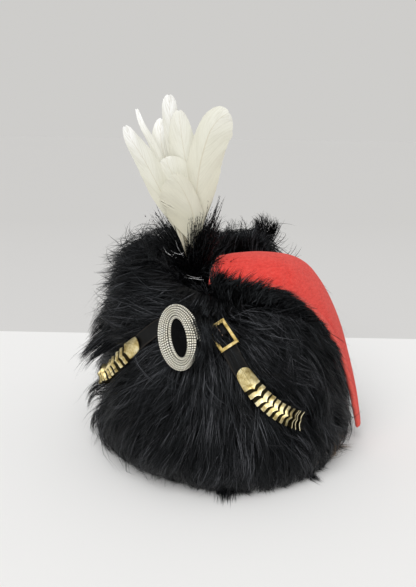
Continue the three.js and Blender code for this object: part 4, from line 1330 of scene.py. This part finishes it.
def makeTuft():
    random = np.random.default_rng(404)
    root = np.array(plume["root"], float)
    lines, widths, tones, outs = [], [], [], []
    facing = math.radians(plume["facing"])

    def around(angle, radius, height):
        turn = math.radians(angle) + facing
        spot = root + np.array([radius * math.sin(turn), -radius * math.cos(turn), height])
        return spot * millimetre + axisPlace

    def addLine(points, width, tone, wave=0.0):
        line = routeLine(points, 7)
        if wave:
            sway = unit(np.cross(line[-1] - line[0], random.normal(0, 1, 3)))
            bow = np.sin(np.linspace(0, 7, 7) + random.uniform(0, 6)) * np.linspace(0, 1, 7)
            line = line + sway * (wave * millimetre * bow)[:, None]
        lines.append(line)
        widths.append(width * millimetre * np.array([0.8, 1, 1, 0.9, 0.75, 0.5, 0.12]))
        tones.append(tone)
        outs.append(unit(line[3] - (root * millimetre + axisPlace)))

    for number, middle, stray in tuft["bunches"]:
        for _ in range(number):
            tip = np.array(middle) + random.normal(0, 1, 3) * stray
            tip[2] = max(tip[2], 12)
            side = unit(tip[:2]) if np.linalg.norm(tip[:2]) > 1 else np.array([0.0, -1.0])
            foot = np.array([*(side * random.uniform(5, 8)), random.uniform(-4, 5)])
            bend = foot + (tip - foot) * (0.42, 0.42, 0.58) + random.normal(0, 1.5, 3)
            tone = random.uniform(0.02, 0.56)
            addLine([onPlume(*foot), onPlume(*bend), onPlume(*tip)], 0.85, tone, 1.5)
            line = lines[-1]
            for _ in range(tuft["sideBarbs"]):
                at = random.uniform(0.25, 0.98) * 6
                low = min(int(at), 5)
                spot = line[low] + (line[low + 1] - line[low]) * (at - low)
                forward = unit(line[low + 1] - line[low])
                sideways = unit(np.cross(forward, random.normal(0, 1, 3)))
                size = random.uniform(2.2, 5.2) * millimetre * (1.15 - at / 9)
                addLine([spot, spot + (forward * 0.8 + sideways * 0.38) * size * 0.5,
                         spot + (forward * 0.95 + sideways * 0.42) * size], 0.42, tone)
    for _ in range(tuft["down"]):
        angle = random.uniform(-180, 180)
        height = random.uniform(-20, 22)
        radius = random.uniform(10, 23) * (1 - max(height, 0) / 45)
        start = around(angle, random.uniform(2, 6), height)
        bend = around(angle + random.normal(0, 10), radius * 0.55, height + random.uniform(3, 9))
        tip = around(angle + random.normal(0, 16), radius, height + random.uniform(4, 17))
        addLine([start, bend, tip], 0.5, random.uniform(0.0, 0.6))
    for thread in tuft["threads"]:
        addLine([onPlume(*spot) for spot in thread], 0.55, 0.985, 0.8)
    lines, widths, tones, outs = map(np.array, (lines, widths, tones, outs))
    mesh = ribbonMesh("plume_hackles", lines, widths, tones, random.normal(0, 0.8, len(lines)), outs)
    obj = placed("plume_hackles", mesh, hairFinish("blackHackle"))
    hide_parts("plume_tuft")
    print("tuft made, triangles", ribbonTriangles(len(lines), lines.shape[1] - 1))


makeTuft()


def meshPoints(*names):
    return np.array([tuple(vertex.co) for name in names for vertex in nodes[name].data.vertices])


boss = {
    "width": 38, "height": 58, "band": 11.8, "tilt": 18.0,
    "place": (-2.0, 146.5),  # angle and run of its middle
    "cords": 6,
    "twistPitch": 1.75,
    "turnStep": 0.44,
    "stepAt": -12.0,  # where the two outer cords start, in degrees from the right
}


def bossAxes():
    normal, tilt = formAt(*boss["place"])[1], math.radians(boss["tilt"])
    up = (Vector((0, 0, 1)) - normal * normal.z).normalized()
    turned = np.array(up) * math.cos(tilt) + np.array(normal.cross(up)) * math.sin(tilt)
    normal = np.array(normal)
    ring = meshPoints("boss_cord")
    low = (ring @ normal).min()
    centre = (ring.min(axis=0) + ring.max(axis=0)) / 2
    base = centre - normal * (centre @ normal - low)
    return base, np.cross(turned, normal), turned, normal


def bossOval(turn, inset):
    return (boss["width"] / 2 - inset) * np.cos(turn), (boss["height"] / 2 - inset) * np.sin(turn)


def makeBoss():
    base, across, along, normal = bossAxes()

    def onBoss(turn, inset, lift):
        right, up = bossOval(turn, inset)
        return base + (np.multiply.outer(right, across) + np.multiply.outer(up, along)
                       + np.multiply.outer(lift * np.ones_like(turn), normal)) * millimetre

    points, faces, marks = [], [], []
    each = boss["band"] / boss["cords"]

    def lifted(inset):
        return np.interp(inset / boss["band"], [0, 0.08, 0.3, 0.7, 0.92, 1], [1.2, 2.2, 3.5, 3.5, 2.2, 1.2])

    for cord in range(boss["cords"] + 1):
        inset = boss["band"] - 0.55 if cord == boss["cords"] else (cord + 0.5) * each - 0.35
        perimeter = travel(onBoss(np.linspace(0, 2 * math.pi, 200), inset, 0.0))[-1] / millimetre
        outer = cord < 2
        whole = 0.92 if outer else 1  # share of a full turn
        count = int(perimeter / boss["turnStep"] * whole)
        start = math.radians(boss["stepAt"]) + (0.05 * cord if outer else 0)
        turn = start + np.linspace(0, 2 * math.pi * whole, count, endpoint=outer)
        # the outer cords end by running in under the others, and the turns lie looser on one side
        tucked = np.clip((turn - start - 4.1) / 1.5, 0, 1) ** 1.6 if outer else 0
        fuller = np.exp(-((np.angle(np.exp(1j * (turn + 0.2)))) / 0.6) ** 2) * (1 - cord / boss["cords"])
        lift = lifted(inset) + 1.2 * fuller - tucked * 1.3 * (1 + (tucked > 0.9))
        line = onBoss(turn, inset - 1.3 * fuller + tucked * (2 - cord) * 1.75, lift)
        twist = np.arange(count) * boss["turnStep"] / boss["twistPitch"] * 2 * math.pi * (-1 if cord % 2 else 1)
        bead = each * (0.395 + 0.11 * np.sin(twist)) * (1 + 0.14 * fuller) * millimetre
        if outer:
            bead *= np.clip(np.minimum(np.arange(count), np.arange(count)[::-1]) / 4, 0.3, 1) ** 0.5
        rings = tubeRings(line, bead, np.tile(normal, (count, 1)), 6)
        faces += tubeFaces(count, 6, len(points), closed=not outer)
        points += list(rings.reshape(-1, 3))
        marks += [(step * boss["turnStep"] / boss["twistPitch"], cord) for step in range(count) for _ in range(6)]
    backing = np.linspace(0, 2 * math.pi, 96, endpoint=False)
    outline = ((4.0, 0.0), (4.1, 1.8), (5.0, 2.6), (7.6, 2.6), (10.4, 1.4), (10.6, 0.0))  # inset and lift
    rings = [onBoss(backing, inset, lift) for inset, lift in outline]
    start = len(points)
    ringFaces = gridFaces(len(rings), 96, wrap=True)
    here, after, last = np.arange(96), (np.arange(96) + 1) % 96, (len(rings) - 1) * 96
    under = np.stack([here, after, last + after, last + here], axis=1)
    faces += [tuple(start + index for index in face) for face in [*ringFaces, *under[:, ::-1]]]
    for ring in rings:
        points += list(ring)
        marks += [(0.0, 9.0)] * 96

    finish = Finish("silverCord", Metallic=0.0, Roughness=0.45)
    way, cord = finish.map("turns")
    place = finish.place()
    tarnish = finish.noise(place, 160.0, 3.0, 0.6)
    grain = finish.noise(place, 2600.0, 2.0)
    twist = (way * 2 * math.pi).sine()
    silver = finish.ramp(tarnish * 0.5 + grain * 0.5, (0.28, (0.62, 0.56, 0.40)), (0.46, (0.98, 0.94, 0.79)),
                         (0.62, (1.0, 0.985, 0.90)))
    backed = cord > 8.0
    # painted shade in the gaps between the cord's twists
    tone = finish.blend((twist * -1.7 + 0.1).kept() * 0.95, silver, (0.045, 0.036, 0.022))
    finish.set("Base Color", finish.blend(backed, tone, (0.03, 0.027, 0.02)))
    finish.set("Metallic", 0.4 - 0.3 * tarnish)
    finish.set("Roughness", 0.34 + 0.25 * tarnish)
    finish.bump(twist * 0.6 + grain * 0.4, 0.0004, 0.4)
    cordPiece = newPiece("boss_cord_turns", points, faces, finish)
    withMap(cordPiece, "turns", np.array(marks)[cornersOf(cordPiece)])
    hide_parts("boss_cord")

    velvet = Finish("blackVelvet", Roughness=1.0, Specular_IOR_Level=0.12, Sheen_Weight=0.005, Sheen_Roughness=0.4)
    place = velvet.place()
    pile = velvet.noise(place, 1500.0, 3.0, 0.7)
    nap = velvet.noise(place, 120.0, 2.0)
    velvet.set("Base Color", velvet.ramp(nap * 0.6 + pile * 0.4, (0.35, (0.0008, 0.0008, 0.001)),
                                         (0.75, (0.003, 0.003, 0.0036))))
    velvet.bump(pile, 0.0008, 0.8)
    turn = np.linspace(0, 2 * math.pi, 72, endpoint=False)
    right, up = bossOval(turn, boss["band"] + 0.1)
    rows = []
    for part in np.linspace(1, 0.02, 14):
        lift = 0.8 + 1.9 * np.sqrt(1 - part**4) + 0.12 * np.sin(turn * 5 + part * 9)
        rows.append(base + (np.multiply.outer(right * part, across) + np.multiply.outer(up * part, along)
                            + np.multiply.outer(lift, normal)) * millimetre)
    rows.insert(0, rows[0] - normal * 0.8 * millimetre)
    count = len(turn)
    faces = [tuple(face) for face in gridFaces(len(rows), count, wrap=True)]
    faces += [tuple((len(rows) - 1) * count + i for i in range(count)), tuple(range(count))[::-1]]
    centre = newPiece("boss_velvet", np.concatenate(rows), faces, velvet)
    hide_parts("boss_centre")
    print("boss wound")


makeBoss()


# middle line of each half of the strap on the fur, from the buckle to its anchorage (angle, run)
straps = {
    "strap_tongue": [(19.6, 154.5), (17, 165.5), (9, 172.5), (-1, 170), (-8, 162), (-14, 153), (-21, 139.5),
                     (-31, 121), (-40, 104.5), (-49, 89), (-60, 73), (-74, 57), (-88, 40), (-99, 22), (-106, 7)],
    "strap_buckle_end": [(19.6, 154.5), (22.6, 141.5), (26, 125), (30, 111), (36.5, 93), (42.5, 81), (50, 69),
                         (59, 59.5), (72, 50), (86, 36), (97, 21), (104, 7)],
}
strap = {"width": 14.0, "thickness": 1.8, "edgeRadius": 0.7, "step": 1.6}


def leatherFinish():
    finish = Finish("blackLeather", Roughness=0.42, Specular_IOR_Level=0.2)
    side, way = finish.map("band")
    place = finish.place()
    grain = finish.add("ShaderNodeTexVoronoi", {"feature": "DISTANCE_TO_EDGE"}, Vector=place, Scale=900.0)
    crease = finish.noise(finish.add("ShaderNodeCombineXYZ", {}, side * 0.5, way * 0.5, 0.0), 1.6, 4.0, 0.6)
    scuff = finish.noise(place, 190.0, 4.0, 0.65)
    edge = ((side.size() - 5.4) * 0.8).kept()
    tone = finish.ramp(scuff, (0.35, (0.0016, 0.0016, 0.0018)), (0.6, (0.0042, 0.004, 0.0038)),
                       (0.78, (0.014, 0.013, 0.012)))
    finish.set("Base Color", finish.blend(edge * (0.2 + 0.8 * scuff) * 0.6, tone, (0.075, 0.062, 0.05)))
    finish.set("Roughness", 0.42 + 0.3 * scuff + 0.1 * edge)
    groove = (1.0 - (side.size() - 5.2).size() * 3.0).kept()
    finish.bump(grain * 0.25 + crease * 0.6 - groove * 0.5, 0.0006, 0.5)
    return finish


def strapLine(name):
    # the strap's top centre line on the frame's own strap, and the way out there
    route = np.array(straps[name], float)
    flat = routeLine(np.column_stack([route, np.zeros(len(route))]), 260)
    tree = treeOf(name)
    spots, outs = [], []
    for angle, run in flat[:, :2]:
        place, out = formAt(angle, run)
        hit = tree.ray_cast(place + out * probe["above"], -out, probe["strap"])
        if hit[0] is not None:
            spots.append(hit[0])
            outs.append(out)
    spots, outs = np.array(spots), np.array(outs)
    weights = np.hanning(13) / np.hanning(13).sum()
    padded = np.concatenate([2 * spots[:1] - spots[6:0:-1], spots, 2 * spots[-1:] - spots[-2:-8:-1]])
    smooth = np.stack([np.convolve(padded[:, axis], weights, "valid") for axis in range(3)], axis=1)
    travelled = travel(smooth)
    at = np.arange(0, travelled[-1], strap["step"] * millimetre)
    line, out = sampled(at, travelled, smooth), unit(sampled(at, travelled, outs))
    along = unit(np.gradient(line, axis=0))
    out = unit(out - along * (out * along).sum(axis=1, keepdims=True))
    return line, along, np.cross(along, out), out


def makeStraps():
    finish = leatherFinish()
    half, thick, radius = strap["width"] / 2, strap["thickness"], strap["edgeRadius"]
    # the strap's section: its upper side from one edge to the other, then back along the lower side
    section = [(-half, -thick / 2), (-half + 0.15, -thick * 0.2), (-half + radius, 0.0), (-half + 1.9, 0.06),
               (-half * 0.5, 0.0), (0, -0.06), (half * 0.5, 0.0), (half - 1.9, 0.06), (half - radius, 0.0),
               (half - 0.15, -thick * 0.2), (half, -thick / 2), (half - 0.2, -thick * 0.85), (half - radius, -thick),
               (0, -thick), (-half + radius, -thick), (-half + 0.2, -thick * 0.85)]
    for name in straps:
        line, along, across, out = strapLine(name)
        points, marks = [], []
        for index, spot in enumerate(line):
            ripple = 0.25 * math.sin(index * 0.31) + 0.18 * math.sin(index * 0.83 + 1)
            for side, lift in section:
                bend = ripple * (1 - (side / half) ** 2) * 0.6
                points.append(spot + (across[index] * side + out[index] * (lift + bend)) * millimetre)
                marks.append((side, index * strap["step"]))
        faces = tubeFaces(len(line), len(section))
        band = newPiece(name.replace("strap_", "leather_"), points, faces, finish)
        withMap(band, "band", np.array(marks)[cornersOf(band)])
        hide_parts(name)
    print("straps cut")


makeStraps()


scales = {
    "width": 16.5, "length": 13.0, "thickness": 0.75, "arch": 2.6, "scallop": 2.3, "count": 11,
    "columns": 20, "rows": 14,
    # how far each scale tips up, in degrees
    "tips": {"left": [6, 11, 15, 20, 26, 33, 42, 54, 68, 82, 94],
             "right": [8, 13, 16, 19, 23, 30, 42, 60, 80, 98, 114]},
    # how much further along the strap each lies than the frame's plates, in millimetres
    "spread": {"left": [0, 1.2, 2.2, 3.0, 3.4, 3.4, 3.0, 2.4, 1.8, 1.2, 1.2],
               "right": [0, 0, 0, 0, 0, 0, 0, 0.8, 2.4, 4.0, 6.4]},
    # share of each scale's showing part that lies in the shade of the scale before it
    "shaded": {"left": [0, 0.42, 0.46, 0.5, 0.54, 0.58, 0.64, 0.7, 0.76, 0.8, 0.84],
               "right": [0, 0.2, 0.23, 0.26, 0.3, 0.38, 0.5, 0.62, 0.74, 0.82, 0.86]},
}


def brassFinish():
    finish = Finish("wornBrass", Metallic=1.0, Roughness=0.3)
    way = finish.map("plate")[1]
    place = finish.place()
    wear = finish.noise(place, 140.0, 4.0, 0.65)
    dent = finish.noise(place, 260.0, 2.0)
    fine = finish.noise(place, 1500.0, 2.0)
    brass = finish.ramp(wear, (0.3, (0.26, 0.18, 0.06)), (0.43, (0.62, 0.49, 0.21)), (0.56, (0.86, 0.74, 0.41)),
                        (0.7, (0.98, 0.91, 0.64)))
    shade = (1.0 - way * 9.0).kept()  # painted shadow where the scale before lies over it
    # painted highlight along each scale's free edge
    rim = ((way - 0.8) * 5.0).kept()
    tone = finish.blend(shade * 0.97, brass, (0.012, 0.009, 0.004))
    finish.set("Base Color", finish.blend(rim * 0.5, tone, (1.0, 0.93, 0.68)))
    finish.set("Roughness", 0.3 + 0.3 * wear + 0.3 * shade)
    finish.bump(dent * 0.8 + fine * 0.2, 0.0012, 0.5)
    return finish


def makeScales(side, name):
    line, along, sideways, out = strapLine(name)
    brass = brassFinish()
    # the scales' undersides get a dark colour as painted shade, mottled a little
    backing = Finish("scaleBacking", Metallic=0.7, Roughness=0.6)
    shadeMottle = backing.noise(backing.place(), 300.0, 3.0)
    backing.set("Base Color", backing.ramp(shadeMottle, (0.3, (0.012, 0.010, 0.006)), (0.8, (0.06, 0.045, 0.02))))
    random = np.random.default_rng(9 if side == "left" else 10)
    points, faces, marks, dark = [], [], [], []
    columns, rows = scales["columns"], scales["rows"]
    plates = [f"scale_{side}_{index + 1}" for index in range(scales["count"])]
    middles = [meshPoints(plate).mean(axis=0) for plate in plates]
    gap = np.linalg.norm(middles[-1] - middles[1]) / (scales["count"] - 2) / millimetre
    covered = 1 - gap / scales["length"]
    for index, centre in enumerate(middles):
        near = int(np.argmin(np.linalg.norm(line - centre, axis=1)))
        shift = (2.6 if index == 0 else 5.2) - scales["spread"][side][index]  # from a plate's middle to its foot
        spot = int(np.clip(near - round(shift / strap["step"]), 0, len(line) - 1))
        foot = line[spot]
        shaded = scales["shaded"][side][index]
        tip = math.radians(scales["tips"][side][index] + random.normal(0, 1.5))
        way, outward, cross = along[spot], out[spot], sideways[spot]
        yaw = random.normal(0, 0.03)
        cross, way = cross * math.cos(yaw) + way * math.sin(yaw), way * math.cos(yaw) - cross * math.sin(yaw)
        tipped = way * math.cos(tip) + outward * math.sin(tip)
        lifted = outward * math.cos(tip) - way * math.sin(tip)
        start = len(points)
        for layer in (0, 1):
            for row in range(rows + 1):
                for column in range(columns + 1):
                    u = 2 * column / columns - 1
                    v = row / rows
                    begin = -scales["width"] * 0.48 * math.sqrt(max(0, 1 - u * u)) if index == 0 else 0.0
                    corner = 2.5 * abs(u) ** 6
                    end = scales["length"] - corner - scales["scallop"] * abs(math.sin(math.pi * u)) ** 0.8
                    reach = begin + (end - begin) * v
                    curl = 0.7 * max(0, v - 0.72) ** 2 / 0.08
                    rim = min(1, (1 - abs(u)) * columns * 0.7) if index else 1
                    height = 0.4 + scales["arch"] * (1 - u * u) + curl
                    height -= layer * scales["thickness"] * (0.4 + 0.6 * rim)
                    wide = scales["width"] * (0.45 + 0.04 * v if index == 0 else 0.42 + 0.1 * v)
                    points.append(foot + (cross * (u * wide) + tipped * reach + lifted * height) * millimetre)
                    showing = (v - covered) / (1 - covered)  # 0 at the edge of the scale before, 1 at its own
                    marks.append((u, (showing - shaded) / (1 - shaded) if index else 0.5))
        ribs = columns + 1
        under = start + ribs * (rows + 1)
        grid = gridFaces(rows + 1, ribs)
        rim = [*range(ribs), *(row * ribs + columns for row in range(1, rows + 1)),
               *(rows * ribs + column for column in range(columns - 1, -1, -1)),
               *(row * ribs for row in range(rows - 1, 0, -1))]
        top = [tuple(start + i for i in face) for face in grid]
        bottom = [tuple(under + i for i in face[::-1]) for face in grid]
        walls = [(start + one, under + one, under + two, start + two) for one, two in zip(rim, rim[1:] + rim[:1])]
        faces += [*top, *bottom, *walls]
        dark += [0] * len(top) + [1] * len(bottom) + [0] * len(walls)
    obj = newPiece(f"brass_scales_{side}", points, faces, brass)
    obj.data.materials.append(backing.material)
    obj.data.polygons.foreach_set("material_index", dark)
    withMap(obj, "plate", np.array(marks)[cornersOf(obj)])
    obj.data.set_sharp_from_angle(angle=math.radians(50))
    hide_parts(*plates)
    print("scales laid", side)


makeScales("left", "strap_tongue")
makeScales("right", "strap_buckle_end")


def finishHardware():
    finish = Finish("buckleBrass", Metallic=1.0, Roughness=0.3)
    place = finish.place()
    wear = finish.noise(place, 200.0, 4.0, 0.65)
    brush = finish.noise(finish.add("ShaderNodeMapping", {}, Vector=place, Scale=(6.0, 1.0, 0.6)), 700.0, 2.0)
    finish.set("Base Color", finish.ramp(wear, (0.3, (0.12, 0.08, 0.02)), (0.52, (0.42, 0.31, 0.11)),
                                         (0.78, (0.74, 0.62, 0.33))))
    finish.set("Roughness", 0.22 + 0.3 * wear)
    finish.bump(wear * 0.6 + brush * 0.4, 0.0008, 0.45)
    prong = Finish("prongSteel", Metallic=1.0, Roughness=0.35)
    rust = prong.noise(prong.place(), 400.0, 3.0)
    prong.set("Base Color", prong.ramp(rust, (0.3, (0.35, 0.20, 0.14)), (0.7, (0.66, 0.56, 0.50))))
    prong.set("Roughness", 0.3 + 0.3 * rust)
    cane = Finish("cane", Roughness=0.6)
    fibre = cane.noise(cane.add("ShaderNodeMapping", {}, Vector=cane.place(), Scale=(1.0, 1.0, 0.08)), 1400.0, 3.0)
    cane.set("Base Color", cane.ramp(fibre, (0.3, (0.012, 0.010, 0.008)), (0.7, (0.045, 0.035, 0.025))))
    cane.bump(fibre, 0.0005, 0.5)
    hardware = (("buckle_frame", finish, 0.45), ("buckle_prong", prong, 0.15), ("plume_stem", cane, 0.3))
    for name, look, width in hardware:
        finishedWith(nodes[name], look)
        edge = nodes[name].modifiers.new("rounded", "BEVEL")
        edge.width, edge.segments, edge.limit_method = width * millimetre, 3, "ANGLE"
    print("buckle and stem finished")


finishHardware()
